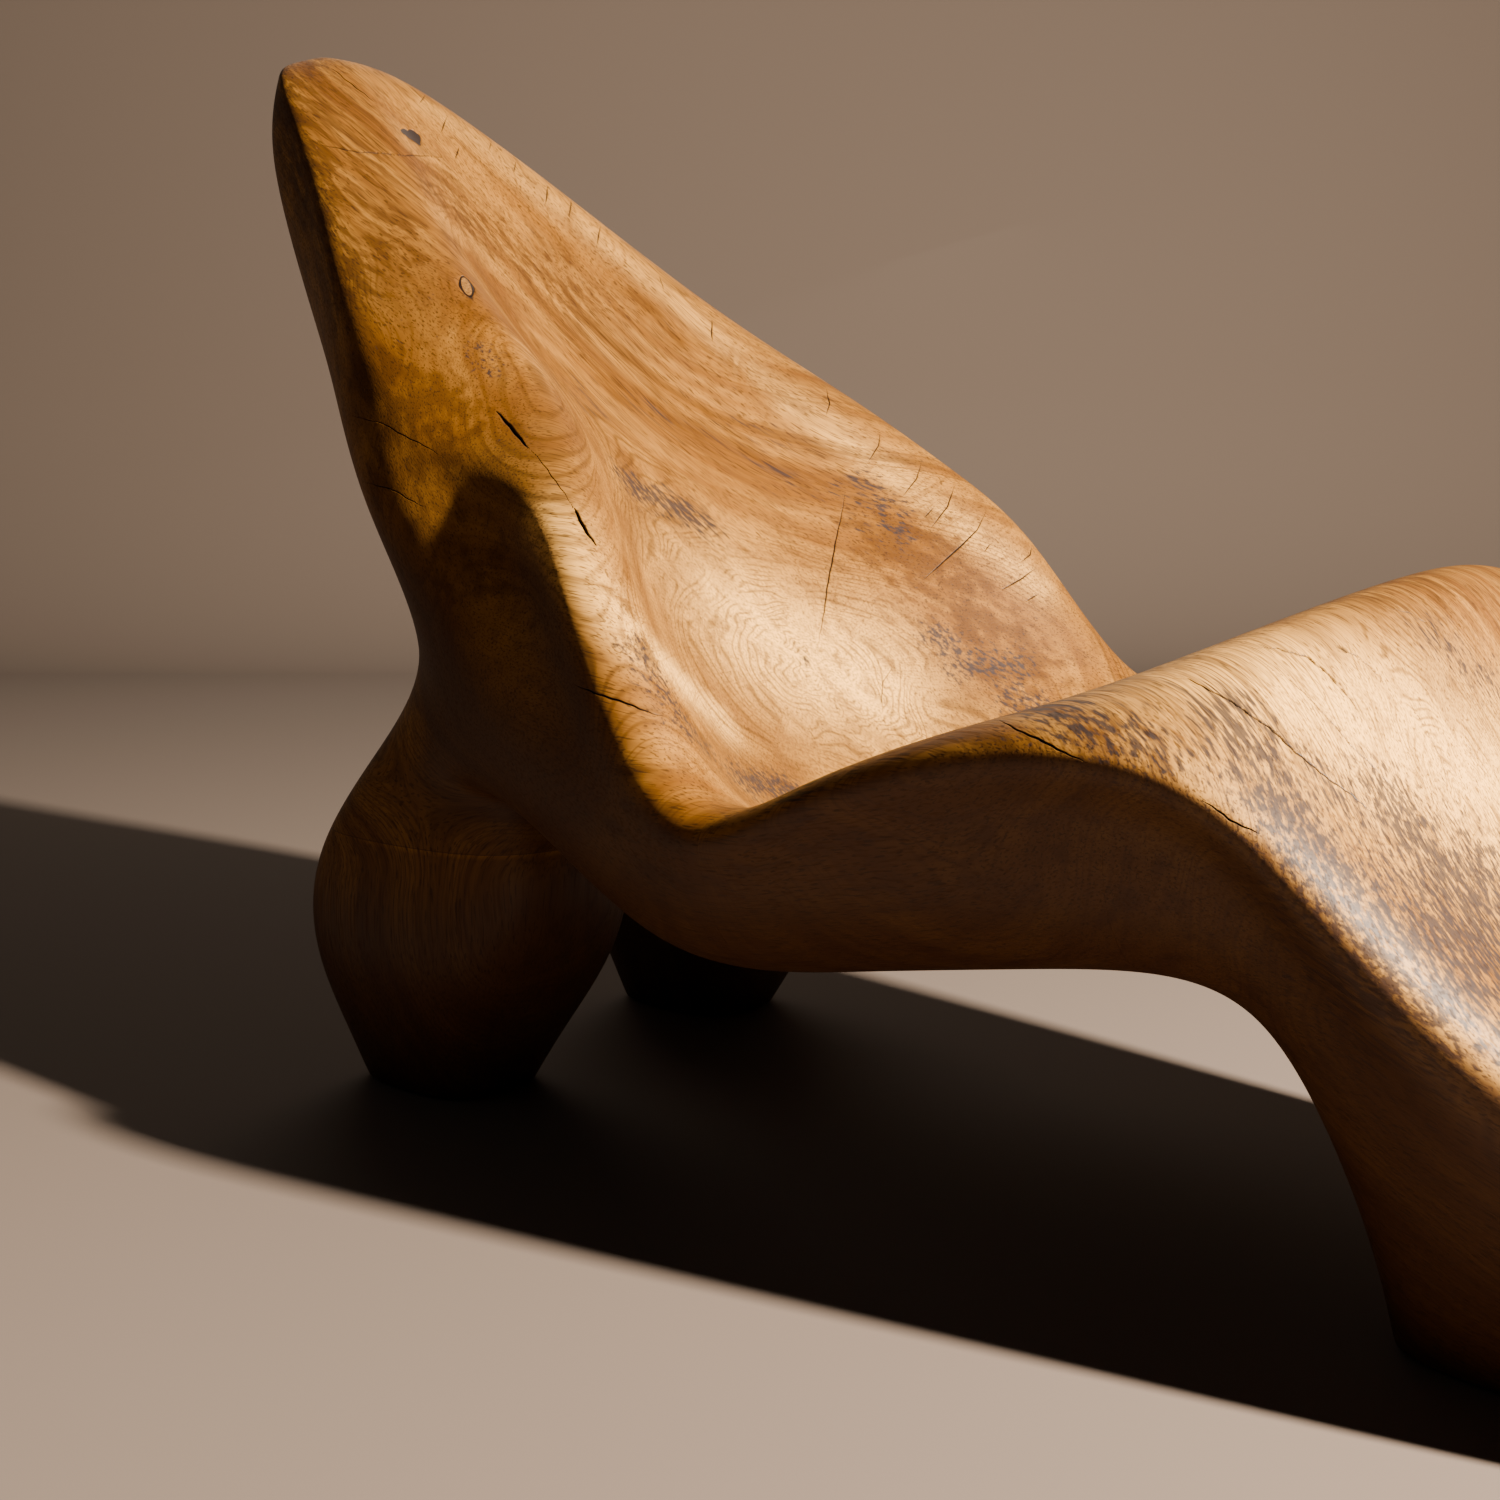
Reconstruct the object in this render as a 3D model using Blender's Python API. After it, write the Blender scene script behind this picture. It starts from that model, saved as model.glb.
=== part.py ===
"""Carved hardwood chaise longue: timber blocks joined with hidden tenons and carved as one form."""

import math

import bmesh
import bpy
from mathutils import Matrix, Vector

# Overall size of the finished chaise, in metres
LENGTH = 1.535
WIDTH = 0.663
HEIGHT = 0.930

# Clearances and small parts, in metres
GLUE_LINE = 0.0003
PAD_THICKNESS = 0.003
PAD_DIAMETER = 0.060
BACK_TENON = {"width": 0.080, "thickness": 0.022, "length": 0.096}
KNEE_TENON = {"width": 0.090, "thickness": 0.030, "length": 0.120}
TENON_SPACING = 0.180
DOWEL_DIAMETER = 0.032
DOWEL_LENGTH = 0.116
DOWEL_SPACING = 0.080
PLUG_LENGTH = 0.028
PLUG_BREADTH = 0.013
PLUG_DEPTH = 0.020
FILLING_SIZE = 0.020
FILLING_DEPTH = 0.014

# Template of the carved form, scaled below to the overall size. Each station is a cross-section of
# the body, from the tip of the backrest to the toe of the leg rest: where its rim and its keel lie
# in the side view (x, z), the half widths at rim, shoulder, flank and belly, how far the rim rolls
# in from its widest line, how deep that line lies under the rim, and the depth of the dish.
#    name          rim x, z          keel x, z        rim    should. flank  belly  roll   lip    dish
STATIONS = (
    ("tip_cap",   (-0.747, 0.935), (-0.757, 0.914), 0.031, 0.029, 0.025, 0.018, 0.013, 0.011, -0.003),
    ("tip_end",   (-0.732, 0.932), (-0.762, 0.884), 0.066, 0.060, 0.050, 0.034, 0.028, 0.024, -0.004),
    ("tip",       (-0.680, 0.908), (-0.755, 0.830), 0.117, 0.102, 0.080, 0.050, 0.046, 0.055, -0.006),
    ("head",      (-0.560, 0.808), (-0.692, 0.708), 0.206, 0.162, 0.116, 0.072, 0.070, 0.085, 0.022),
    ("shoulders", (-0.400, 0.696), (-0.608, 0.572), 0.260, 0.212, 0.168, 0.110, 0.072, 0.100, 0.064),
    ("ribs",      (-0.270, 0.610), (-0.492, 0.462), 0.288, 0.205, 0.240, 0.146, 0.062, 0.055, 0.092),
    ("waist",     (-0.180, 0.532), (-0.420, 0.370), 0.318, 0.215, 0.256, 0.182, 0.054, 0.047, 0.104),
    ("loin",      (-0.112, 0.462), (-0.330, 0.305), 0.332, 0.268, 0.268, 0.245, 0.048, 0.043, 0.106),
    ("lumbar",    (-0.046, 0.384), (-0.225, 0.245), 0.339, 0.305, 0.290, 0.250, 0.044, 0.040, 0.103),
    ("valley",    (+0.016, 0.300), (-0.090, 0.155), 0.341, 0.320, 0.295, 0.240, 0.034, 0.031, 0.084),
    ("thigh",     (+0.088, 0.345), (+0.050, 0.180), 0.340, 0.314, 0.292, 0.235, 0.030, 0.027, 0.075),
    ("knee_back", (+0.200, 0.386), (+0.170, 0.200), 0.340, 0.302, 0.290, 0.230, 0.030, 0.027, 0.026),
    ("knee",      (+0.290, 0.393), (+0.278, 0.218), 0.338, 0.286, 0.278, 0.225, 0.030, 0.027, -0.020),
    ("shin_top",  (+0.355, 0.378), (+0.334, 0.192), 0.327, 0.276, 0.257, 0.195, 0.032, 0.029, -0.008),
    ("shin",      (+0.410, 0.325), (+0.364, 0.107), 0.308, 0.266, 0.228, 0.164, 0.035, 0.031, 0.010),
    ("calf",      (+0.465, 0.265), (+0.386, 0.010), 0.288, 0.248, 0.192, 0.138, 0.035, 0.031, 0.016),
    ("ankle",     (+0.545, 0.195), (+0.394, -0.09), 0.260, 0.218, 0.157, 0.128, 0.035, 0.031, 0.016),
    ("foot",      (+0.645, 0.115), (+0.600, -0.09), 0.224, 0.188, 0.152, 0.125, 0.030, 0.027, 0.010),
    ("toe",       (+0.728, 0.058), (+0.732, -0.09), 0.184, 0.158, 0.132, 0.110, 0.025, 0.022, 0.004),
    ("toe_end",   (+0.770, 0.025), (+0.772, -0.07), 0.124, 0.116, 0.104, 0.086, 0.020, 0.018, 0.000),
)
# How much higher the left end of the knee crest stands than the right, and each station's share
LEFT_RISE = 0.052
RISE_SHARES = {
    "tip": 0.25, "head": 0.55, "shoulders": 0.25, "ribs": 0.20, "waist": 0.30, "loin": 0.35,
    "lumbar": 0.05, "valley": 0.70, "thigh": 0.80, "knee_back": 1.05, "knee": 1.50, "shin_top": 1.30,
    "shin": 0.85, "calf": 0.60, "ankle": 0.30,
}
# Rim, shoulder, flank and lip where the right side of the back is carved differently from the left
RIGHT_SIDE = {
    "tip": (0.092, 0.084, 0.066, 0.055), "head": (0.134, 0.124, 0.098, 0.085),
    "shoulders": (0.200, 0.190, 0.160, 0.100), "ribs": (0.204, 0.236, 0.252, 0.086),
    "waist": (0.252, 0.210, 0.268, 0.047), "loin": (0.296, 0.256, 0.268, 0.043),
    "lumbar": (0.313, 0.300, 0.290, 0.040), "valley": (0.328, 0.316, 0.295, 0.031),
}
# Where a section's points lie: across its dish and down into it on the right and on the left, then
# down its side between widest line and keel
DISH_ACROSS, DISH_DOWN = (0.66, 0.54), (0.86, 0.78)
SHOULDER_DOWN, FLANK_DOWN, BELLY_DOWN = 0.20, 0.55, 0.94

# Rear legs: the stations they grow from, then the levels of the bulb, each with its centre in the
# side view (x, z), half length and half breadth. The last level is sawn off at the floor. Both legs
# stand a little to the left of the middle.
LEG_FROM, LEG_TO = "waist", "lumbar"
LEG_Y = 0.165
LEG_SWAY = 0.028
LEG_LEVELS = (
    (-0.378, 0.290, 0.095, 0.085),
    (-0.404, 0.205, 0.146, 0.106),
    (-0.416, 0.120, 0.138, 0.110),
    (-0.434, 0.030, 0.088, 0.070),
    (-0.440, -0.04, 0.060, 0.046),
)
LEG_CORNER = 0.90

# Joints in the template's side view: top and bottom of each glued face, and how far down it the
# tenons lie. The legs meet the hips on a level face, in front of which the underside is open.
BACK_JOINT, BACK_TENON_DOWN = ((0.018, 0.300), (-0.018, 0.155)), 0.58
KNEE_JOINT, KNEE_TENON_DOWN = ((0.292, 0.410), (0.262, 0.220)), 0.50
LEG_JOINT_Z = 0.225
LEG_OPEN_X = -0.230
DOWEL_X = -0.368
REAR_PAD_X = -0.437
FRONT_PADS_X = (0.465, 0.655)
FRONT_PAD_Y = 0.080

# Where the plug and the filled knot sit in the face of the backrest, seen from above (x, y)
PLUG_AT = (-0.410, -0.125)
KNOT_AT = (-0.607, -0.012)
PLUG_TURN = math.radians(77)
KNOT_OUTLINE = (0.9, 1.1, 0.6, 0.9, 1.2, 0.7, 1.0, 0.65)

SUBDIVISION = 2
ROUND_SIDES = 24


def ring_of(station):
    """The eighteen cage points of a station, from the top centre down the right side and round."""
    name, rim, keel, half, shoulder, flank, belly, roll, lip, dish = station
    rim, keel = Vector((rim[0], 0, rim[1])), Vector((keel[0], 0, keel[1]))
    down = keel - rim
    rise = LEFT_RISE * RISE_SHARES.get(name, 0.0)
    left_side = (half, shoulder, flank, lip)
    right_side = RIGHT_SIDE.get(name, left_side)
    bottom, middle = dish / down.length, (half - right_side[0]) / 2

    def at(y, share):
        point = rim + down * share
        point.y = y
        point.z += rise * (0.5 + y / (2 * half)) * (1 - share)
        return point

    def outline(sign, side, across, depth):
        side_half, side_shoulder, side_flank, side_lip = side
        widest = side_lip / down.length
        points = [
            (middle * sign + across * (side_half - roll - middle * sign), depth * bottom),
            (side_half - roll, 0.0),
            (side_half, widest),
            (side_shoulder, widest + SHOULDER_DOWN * (1 - widest)),
            (side_flank, widest + FLANK_DOWN * (1 - widest)),
            (belly, BELLY_DOWN),
            (belly * 2 / 3, 1.0),
            (belly / 3, 1.0),
        ]
        return [at(sign * y, share) for y, share in points]

    right = outline(-1, right_side, DISH_ACROSS[0], DISH_DOWN[0])
    left = outline(1, left_side, DISH_ACROSS[1], DISH_DOWN[1])
    return [at(middle, bottom), *right, at(0, 1.0), *reversed(left)]


def add_leg(cage, hole, side):
    """Runs a leg of eight-sided levels down from a hole in the cage, and closes its foot."""
    above = hole
    # Where the hole's corners lie from the leg's centre: fore or aft, then out or in
    corners = [(-1, 1), (-1, 0), (-1, -1), (0, -1), (1, -1), (1, 0), (1, 1), (0, 1)]
    for x, z, half_length, half_breadth in LEG_LEVELS:
        level = []
        for fore, out in corners:
            pull = LEG_CORNER if fore and out else 1.0
            out = -out * side
            y = LEG_SWAY + side * (LEG_Y + out * half_breadth * pull)
            level.append(cage.verts.new((x + fore * half_length * pull, y, z)))
        for n in range(len(corners)):
            m = (n + 1) % len(corners)
            cage.faces.new((above[n], above[m], level[m], level[n]))
        above = level
    cage.faces.new(above)


def carved_cage():
    """The control cage of the whole form: section rings, end caps and two bulbous rear legs."""
    cage = bmesh.new()
    names = [station[0] for station in STATIONS]
    rings = [[cage.verts.new(point) for point in ring_of(station)] for station in STATIONS]
    count = len(rings[0])
    first, last = names.index(LEG_FROM), names.index(LEG_TO)
    middle = first + 1
    belly_columns = {-1: (6, 7, 8), 1: (10, 11, 12)}
    for i in range(len(rings) - 1):
        for j in range(count):
            k = (j + 1) % count
            leg_root = first <= i < last and any(j in c[:2] for c in belly_columns.values())
            if not leg_root:
                cage.faces.new((rings[i][j], rings[i + 1][j], rings[i + 1][k], rings[i][k]))
    cage.faces.new(rings[0])
    cage.faces.new(reversed(rings[-1]))
    for side, (a, b, c) in belly_columns.items():
        cage.verts.remove(rings[middle][b])
        hole = [rings[first][a], rings[first][b], rings[first][c], rings[middle][c]]
        hole += [rings[last][c], rings[last][b], rings[last][a], rings[middle][a]]
        add_leg(cage, hole, side)
    bmesh.ops.recalc_face_normals(cage, faces=cage.faces)
    return cage


def new_object(name, mesh):
    """Links a new object; a bmesh is turned into its mesh and freed."""
    data = bpy.data.meshes.new(name)
    mesh.to_mesh(data)
    mesh.free()
    obj = bpy.data.objects.new(name, data)
    bpy.context.scene.collection.objects.link(obj)
    return obj


def bake(obj):
    """Replaces an object's mesh by what its modifiers make of it."""
    scene_now = bpy.context.evaluated_depsgraph_get()
    baked = bpy.data.meshes.new_from_object(obj.evaluated_get(scene_now))
    obj.modifiers.clear()
    obj.data = baked


def cut(mesh, point, normal):
    """Saws a bmesh along a plane, drops what lies on the normal's side and closes the saw cut."""
    parts = [*mesh.verts, *mesh.edges, *mesh.faces]
    sawn = bmesh.ops.bisect_plane(
        mesh, geom=parts, plane_co=point, plane_no=normal, clear_outer=True, dist=1e-6)
    edges = [e for e in sawn["geom_cut"] if isinstance(e, bmesh.types.BMEdge)]
    bmesh.ops.holes_fill(mesh, edges=edges, sides=0)
    bmesh.ops.recalc_face_normals(mesh, faces=mesh.faces)


def boolean(obj, tool, operation):
    """Carves an object with a tool object, then takes the tool away."""
    modifier = obj.modifiers.new(tool.name, "BOOLEAN")
    modifier.operation = operation
    modifier.object = tool
    bake(obj)
    bpy.data.objects.remove(tool)


def carved_form():
    """The whole carved form on its pads, scaled to the overall size, and the template's scaling."""
    form = new_object("carved_form", carved_cage())
    rounding = form.modifiers.new("rounding", "SUBSURF")
    rounding.levels = rounding.render_levels = SUBDIVISION
    bake(form)
    mesh = bmesh.new()
    mesh.from_mesh(form.data)
    bpy.data.objects.remove(form)
    cut(mesh, Vector((0, 0, 0)), Vector((0, 0, -1)))
    low = Vector([min(v.co[axis] for v in mesh.verts) for axis in range(3)])
    high = Vector([max(v.co[axis] for v in mesh.verts) for axis in range(3)])
    standing = PAD_THICKNESS + GLUE_LINE
    scale = Vector((LENGTH, WIDTH, HEIGHT - standing))
    scale = Vector([scale[axis] / (high[axis] - low[axis]) for axis in range(3)])
    middle = (low + high) / 2
    to_size = Matrix.Translation((0, 0, standing)) @ Matrix.Diagonal((*scale, 1))
    to_size = to_size @ Matrix.Translation((-middle.x, -middle.y, 0))
    bmesh.ops.transform(mesh, matrix=to_size, verts=mesh.verts)
    return mesh, to_size


def box_tool(name, low, high):
    """A box between two corners."""
    mesh = bmesh.new()
    bmesh.ops.create_cube(mesh, size=1.0)
    low, high = Vector(low), Vector(high)
    size = Matrix.Diagonal((*(high - low), 1))
    bmesh.ops.transform(mesh, matrix=Matrix.Translation((low + high) / 2) @ size, verts=mesh.verts)
    return new_object(name, mesh)


def prism(name, outline, low, high, placing):
    """A prism of a flat outline between two heights, moved to its place."""
    mesh = bmesh.new()
    face = mesh.faces.new([mesh.verts.new((x, y, low)) for x, y in outline])
    raised = bmesh.ops.extrude_face_region(mesh, geom=[face])["geom"]
    verts = [v for v in raised if isinstance(v, bmesh.types.BMVert)]
    bmesh.ops.translate(mesh, verts=verts, vec=(0, 0, high - low))
    bmesh.ops.transform(mesh, matrix=placing, verts=mesh.verts)
    bmesh.ops.recalc_face_normals(mesh, faces=mesh.faces)
    return new_object(name, mesh)


def oval(length, breadth, sides=ROUND_SIDES):
    """An ellipse as an outline."""
    turns = [2 * math.pi * n / sides for n in range(sides)]
    return [(length / 2 * math.cos(t), breadth / 2 * math.sin(t)) for t in turns]


def stadium(width, thickness, sides=ROUND_SIDES // 2):
    """A bar's section with half-round ends, width along x."""
    outline = []
    for end in (1, -1):
        for n in range(sides // 2 + 1):
            turn = math.pi * n / (sides // 2) - math.pi / 2
            x = end * ((width - thickness) / 2 + thickness / 2 * math.cos(turn))
            outline.append((x, end * thickness / 2 * math.sin(turn)))
    return outline


def joint_frame(joint, down, to_size, y=0.0):
    """A joint's place: x along the chaise's width, y down the glued face, z square to it, forward."""
    top, bottom = [to_size @ Vector((x, 0, z)) for x, z in joint]
    centre = top.lerp(bottom, down)
    centre.y = y
    across = Vector((0, -1, 0))
    downward = (bottom - top).normalized()
    forward = across.cross(downward)
    frame = Matrix((across, downward, forward)).transposed().to_4x4()
    return Matrix.Translation(centre) @ frame


def timber_blocks(form, to_size):
    """Saws the form into its glued blocks: backrest, seat, leg rest and two rear legs."""
    back_face = joint_frame(BACK_JOINT, 0.5, to_size)
    knee_face = joint_frame(KNEE_JOINT, 0.5, to_size)
    half_gap = GLUE_LINE / 2

    def block(name, *saws):
        mesh = form.copy()
        for face, side in saws:
            normal = face.col[2].to_3d() * side
            cut(mesh, face.translation - normal * half_gap, normal)
        return new_object(name, mesh)

    backrest = block("backrest", (back_face, 1))
    seat = block("seat", (back_face, -1), (knee_face, 1))
    leg_rest = block("leg_rest", (knee_face, -1))
    joint_z = (to_size @ Vector((0, 0, LEG_JOINT_Z))).z
    open_x = (to_size @ Vector((LEG_OPEN_X, 0, 0))).x
    legs = []
    for side, name in ((-1, "rear_leg_right"), (1, "rear_leg_left")):
        leg = block(name)
        y_range = sorted((0, side * WIDTH))
        low, high = (-LENGTH, y_range[0], -HEIGHT), (open_x, y_range[1], joint_z - half_gap)
        boolean(leg, box_tool("leg_side", low, high), "INTERSECT")
        legs.append(leg)
    under = box_tool("leg_space", (-LENGTH, -WIDTH, -HEIGHT), (open_x, WIDTH, joint_z + half_gap))
    boolean(backrest, under, "DIFFERENCE")
    return backrest, seat, leg_rest, legs


def pin(name, outline_of, length, placing, blocks):
    """A tenon or dowel across a joint, and its mortise in both blocks, a glue line larger."""
    mortise_length = length / 2 + GLUE_LINE
    for block in blocks:
        tool = prism("mortise", outline_of(2 * GLUE_LINE), -mortise_length, mortise_length, placing)
        boolean(block, tool, "DIFFERENCE")
    return prism(name, outline_of(0), -length / 2, length / 2, placing)


def tenons(name, size, joint, down, to_size, blocks):
    """Three loose tenons side by side across a joint."""
    def outline_of(extra):
        return stadium(size["width"] + extra, size["thickness"] + extra)

    made = []
    for n in range(3):
        placing = joint_frame(joint, down, to_size, (n - 1) * TENON_SPACING)
        made.append(pin(f"{name}_{n + 1}", outline_of, size["length"], placing, blocks))
    return made


def dowels(legs, backrest, to_size):
    """Two dowels up from each rear leg into the hip above it."""
    def outline_of(extra):
        return oval(DOWEL_DIAMETER + extra, DOWEL_DIAMETER + extra)

    made = []
    for side, leg in zip((-1, 1), legs):
        for n, fore in enumerate((-0.5, 0.5)):
            place = to_size @ Vector((DOWEL_X, LEG_SWAY + side * LEG_Y, LEG_JOINT_Z))
            place.x += fore * DOWEL_SPACING
            name = leg.name.replace("rear_leg", "leg_dowel") + f"_{n + 1}"
            blocks = (leg, backrest)
            made.append(pin(name, outline_of, DOWEL_LENGTH, Matrix.Translation(place), blocks))
    return made


def inlay(name, outline_of, depth, at, turn, form, backrest, to_size):
    """A piece let into the face of the backrest, flush with the carving, and its pocket."""
    probe = new_object("probe", form.copy())
    above = to_size @ Vector((*at, HEIGHT))
    _, surface, facing, _ = probe.ray_cast(above, (0, 0, -1))
    square = facing.to_track_quat("Z", "Y").to_matrix().to_4x4()
    placing = Matrix.Translation(surface) @ square @ Matrix.Rotation(turn, 4, "Z")
    tool = prism("inlay", outline_of(0), GLUE_LINE - depth, depth, placing)
    boolean(probe, tool, "INTERSECT")
    probe.name = name
    pocket = prism("pocket", outline_of(2 * GLUE_LINE), -depth, depth, placing)
    boolean(backrest, pocket, "DIFFERENCE")
    return probe


def knot_plug(form, backrest, to_size):
    """The oval plug in the upper back."""
    def outline_of(extra):
        return oval(PLUG_LENGTH + extra, PLUG_BREADTH + extra)

    return inlay("knot_plug", outline_of, PLUG_DEPTH, PLUG_AT, PLUG_TURN, form, backrest, to_size)


def knot_filling(form, backrest, to_size):
    """The dark filling of an open knot near the tip, with an uneven outline."""
    def outline_of(extra):
        turns = [2 * math.pi * n / len(KNOT_OUTLINE) for n in range(len(KNOT_OUTLINE))]
        radii = [(FILLING_SIZE * share + extra) / 2 for share in KNOT_OUTLINE]
        return [(r * math.cos(t), r * math.sin(t)) for r, t in zip(radii, turns)]

    return inlay("knot_filling", outline_of, FILLING_DEPTH, KNOT_AT, 0.0, form, backrest, to_size)


def foot_pads(to_size):
    """Felt pads under the sawn feet: one under each rear leg and four under the leg rest."""
    places = {}
    for side, label in ((-1, "right"), (1, "left")):
        places[f"pad_rear_{label}"] = (REAR_PAD_X, LEG_SWAY + side * LEG_Y)
        for x, row in zip(FRONT_PADS_X, ("heel", "toe")):
            places[f"pad_{row}_{label}"] = (x, side * FRONT_PAD_Y)
    outline = oval(PAD_DIAMETER, PAD_DIAMETER)
    pads = []
    for name, (x, y) in places.items():
        place = to_size @ Vector((x, y, 0))
        place.z = 0
        pads.append(prism(name, outline, 0, PAD_THICKNESS, Matrix.Translation(place)))
    return pads


def finish(name, colour, roughness):
    """A plain finish: colour as linear red, green and blue."""
    material = bpy.data.materials.new(name)
    material.use_nodes = True
    shader = material.node_tree.nodes["Principled BSDF"]
    shader.inputs["Base Color"].default_value = (*colour, 1)
    shader.inputs["Roughness"].default_value = roughness
    shader.inputs["Metallic"].default_value = 0.0
    return material


def main():
    for obj in list(bpy.data.objects):
        bpy.data.objects.remove(obj)
    form, to_size = carved_form()
    backrest, seat, leg_rest, legs = timber_blocks(form, to_size)
    back_tenons = tenons(
        "back_tenon", BACK_TENON, BACK_JOINT, BACK_TENON_DOWN, to_size, (backrest, seat))
    knee_tenons = tenons(
        "knee_tenon", KNEE_TENON, KNEE_JOINT, KNEE_TENON_DOWN, to_size, (seat, leg_rest))
    leg_dowels = dowels(legs, backrest, to_size)
    plug = knot_plug(form, backrest, to_size)
    filling = knot_filling(form, backrest, to_size)
    pads = foot_pads(to_size)
    form.free()
    groups = (
        (finish("oiled_hardwood", (0.47, 0.27, 0.11), 0.4), [backrest, seat, leg_rest, *legs]),
        (finish("joinery_hardwood", (0.42, 0.27, 0.14), 0.6), [*back_tenons, *knee_tenons, *leg_dowels]),
        (finish("plug_wood", (0.36, 0.22, 0.10), 0.45), [plug]),
        (finish("dark_resin", (0.02, 0.015, 0.012), 0.35), [filling]),
        (finish("felt", (0.10, 0.07, 0.05), 0.95), pads),
    )
    for material, objects in groups:
        for obj in objects:
            obj.data.materials.clear()
            obj.data.materials.append(material)


main()
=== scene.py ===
# %% [markdown]
# # A carved hardwood chaise longue
# The real piece is one flowing form of golden hardwood: a leaf-shaped dished back, a valley to sit in,
# a knee crest, a sloping leg rest and two bulbous rear legs. It is glued up from five blocks and then
# carved as one, so the figure of the wood and the curves run straight through the glue lines.
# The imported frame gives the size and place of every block, and this script makes the fine surface.

# %% Load the frame
import math

import bmesh
import bpy
import numpy as np
from mathutils import Euler, Matrix, Vector
from mathutils.bvhtree import BVHTree
from mathutils.kdtree import KDTree


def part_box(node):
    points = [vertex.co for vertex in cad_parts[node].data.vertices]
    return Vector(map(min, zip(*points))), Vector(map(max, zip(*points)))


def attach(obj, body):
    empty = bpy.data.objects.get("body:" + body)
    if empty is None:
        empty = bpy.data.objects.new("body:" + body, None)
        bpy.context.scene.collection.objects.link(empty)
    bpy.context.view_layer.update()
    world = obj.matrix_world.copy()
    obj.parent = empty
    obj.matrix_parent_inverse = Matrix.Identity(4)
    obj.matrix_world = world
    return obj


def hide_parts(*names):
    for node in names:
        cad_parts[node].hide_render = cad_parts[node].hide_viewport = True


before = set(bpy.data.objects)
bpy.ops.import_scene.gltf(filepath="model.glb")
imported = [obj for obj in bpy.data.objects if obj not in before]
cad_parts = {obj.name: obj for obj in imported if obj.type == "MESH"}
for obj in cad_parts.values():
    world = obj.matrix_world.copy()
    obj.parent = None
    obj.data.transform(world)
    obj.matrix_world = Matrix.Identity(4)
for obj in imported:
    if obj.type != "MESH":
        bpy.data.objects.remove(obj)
bpy.ops.object.select_all(action="DESELECT")
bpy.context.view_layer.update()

# %% [markdown]
# ## The camera
# A camera is matched to a photograph by its height, its turn and its focal length. These came from
# the lines of the floor and of the chaise, so the picture can be laid over the photograph. The focal
# length is counted in pixels of the square picture, which turns into millimetres on a sensor of any size.

# %% Camera
PICTURE_SIDE = 1500            # pixels, both ways
FOCAL_LENGTH = 1829            # pixels
SENSOR = 36.0                  # millimetres
CAMERA_PLACE = (0.7584, -1.174, 0.5033)
CAMERA_TURN = math.radians(39.6)       # to the left of +Y
CAMERA_DIP = math.radians(7.77)        # below the horizon

camera_turning = (math.pi / 2 - CAMERA_DIP, 0, CAMERA_TURN)
bpy.ops.object.camera_add(location=CAMERA_PLACE, rotation=camera_turning)
camera = bpy.context.object
camera.data.sensor_width = SENSOR
camera.data.lens = SENSOR * FOCAL_LENGTH / PICTURE_SIDE
bpy.context.scene.camera = camera
print("camera: lens", round(camera.data.lens, 1), "mm at", CAMERA_PLACE)

# %% [markdown]
# ## Colours and nodes
# Colours are picked as sRGB hex values, the way a paint chart gives them, but shaders work in linear
# light. One function turns them. One more small function adds a node with its settings and links, so
# that a material reads as a list of steps.

# %% Helpers for materials
def linear(hex_colour, alpha=1.0):
    """An sRGB hex colour as linear red, green, blue and alpha."""
    channels = [int(hex_colour[n:n + 2], 16) / 255 for n in (1, 3, 5)]
    bent = [c / 12.92 if c <= 0.04045 else ((c + 0.055) / 1.055) ** 2.4 for c in channels]
    return (*bent, alpha)


def add_node(tree, kind, settings=(), **links):
    """Adds a node. Settings are its properties and constant inputs, links join its inputs to sockets."""
    node = tree.nodes.new("ShaderNode" + kind)
    for key, value in dict(settings).items():
        if isinstance(key, int) or key in node.inputs:
            node.inputs[key].default_value = value
        else:
            setattr(node, key, value)
    for key, socket in links.items():
        tree.links.new(socket, node.inputs[int(key[1:]) if key[1:].isdigit() else key])
    return node


def new_finish(name):
    """An empty node material: its tree and its shader."""
    material = bpy.data.materials.new(name)
    material.use_nodes = True
    tree = material.node_tree
    return material, tree, tree.nodes["Principled BSDF"]


print("helpers ready: #808080 is", round(linear("#808080")[0], 3), "in linear light")

# %% [markdown]
# ## Floor and light
# The stage is a plain pale sweep: a floor that bends up into a wall, so no corner shows. It starts as a
# plane whose far edge is extruded upwards, and a bevel rounds the fold. One soft key lamp stands at the
# foot end, where it rakes across the dish and the leg rest and leaves the near side in shade. Two wide
# lamps, one in front and one behind, and a grey world fill that shade.

# %% Floor
FLOOR_HALF = 14.0
FLOOR_COLOUR = "#7A6D62"
WALL_DISTANCE = 6.2            # from the camera, along its view
SWEEP_RADIUS = 0.9
WALL_HEIGHT = 9.0

view_along = Vector((-math.sin(CAMERA_TURN), math.cos(CAMERA_TURN), 0))
wall_foot = Vector((CAMERA_PLACE[0], CAMERA_PLACE[1], 0)) + view_along * WALL_DISTANCE
bpy.ops.mesh.primitive_plane_add(size=2 * FLOOR_HALF)
floor = bpy.context.object
floor.name = "floor"
bpy.ops.transform.translate(value=(0, -FLOOR_HALF, 0))
bpy.ops.object.transform_apply(location=True)
bpy.ops.object.mode_set(mode="EDIT")
bpy.ops.mesh.select_mode(type="EDGE")
bpy.ops.mesh.select_all(action="DESELECT")
floor_mesh = bmesh.from_edit_mesh(floor.data)
for edge in floor_mesh.edges:
    edge.select_set(all(abs(v.co.y) < 1e-6 for v in edge.verts))
bmesh.update_edit_mesh(floor.data)
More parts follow.
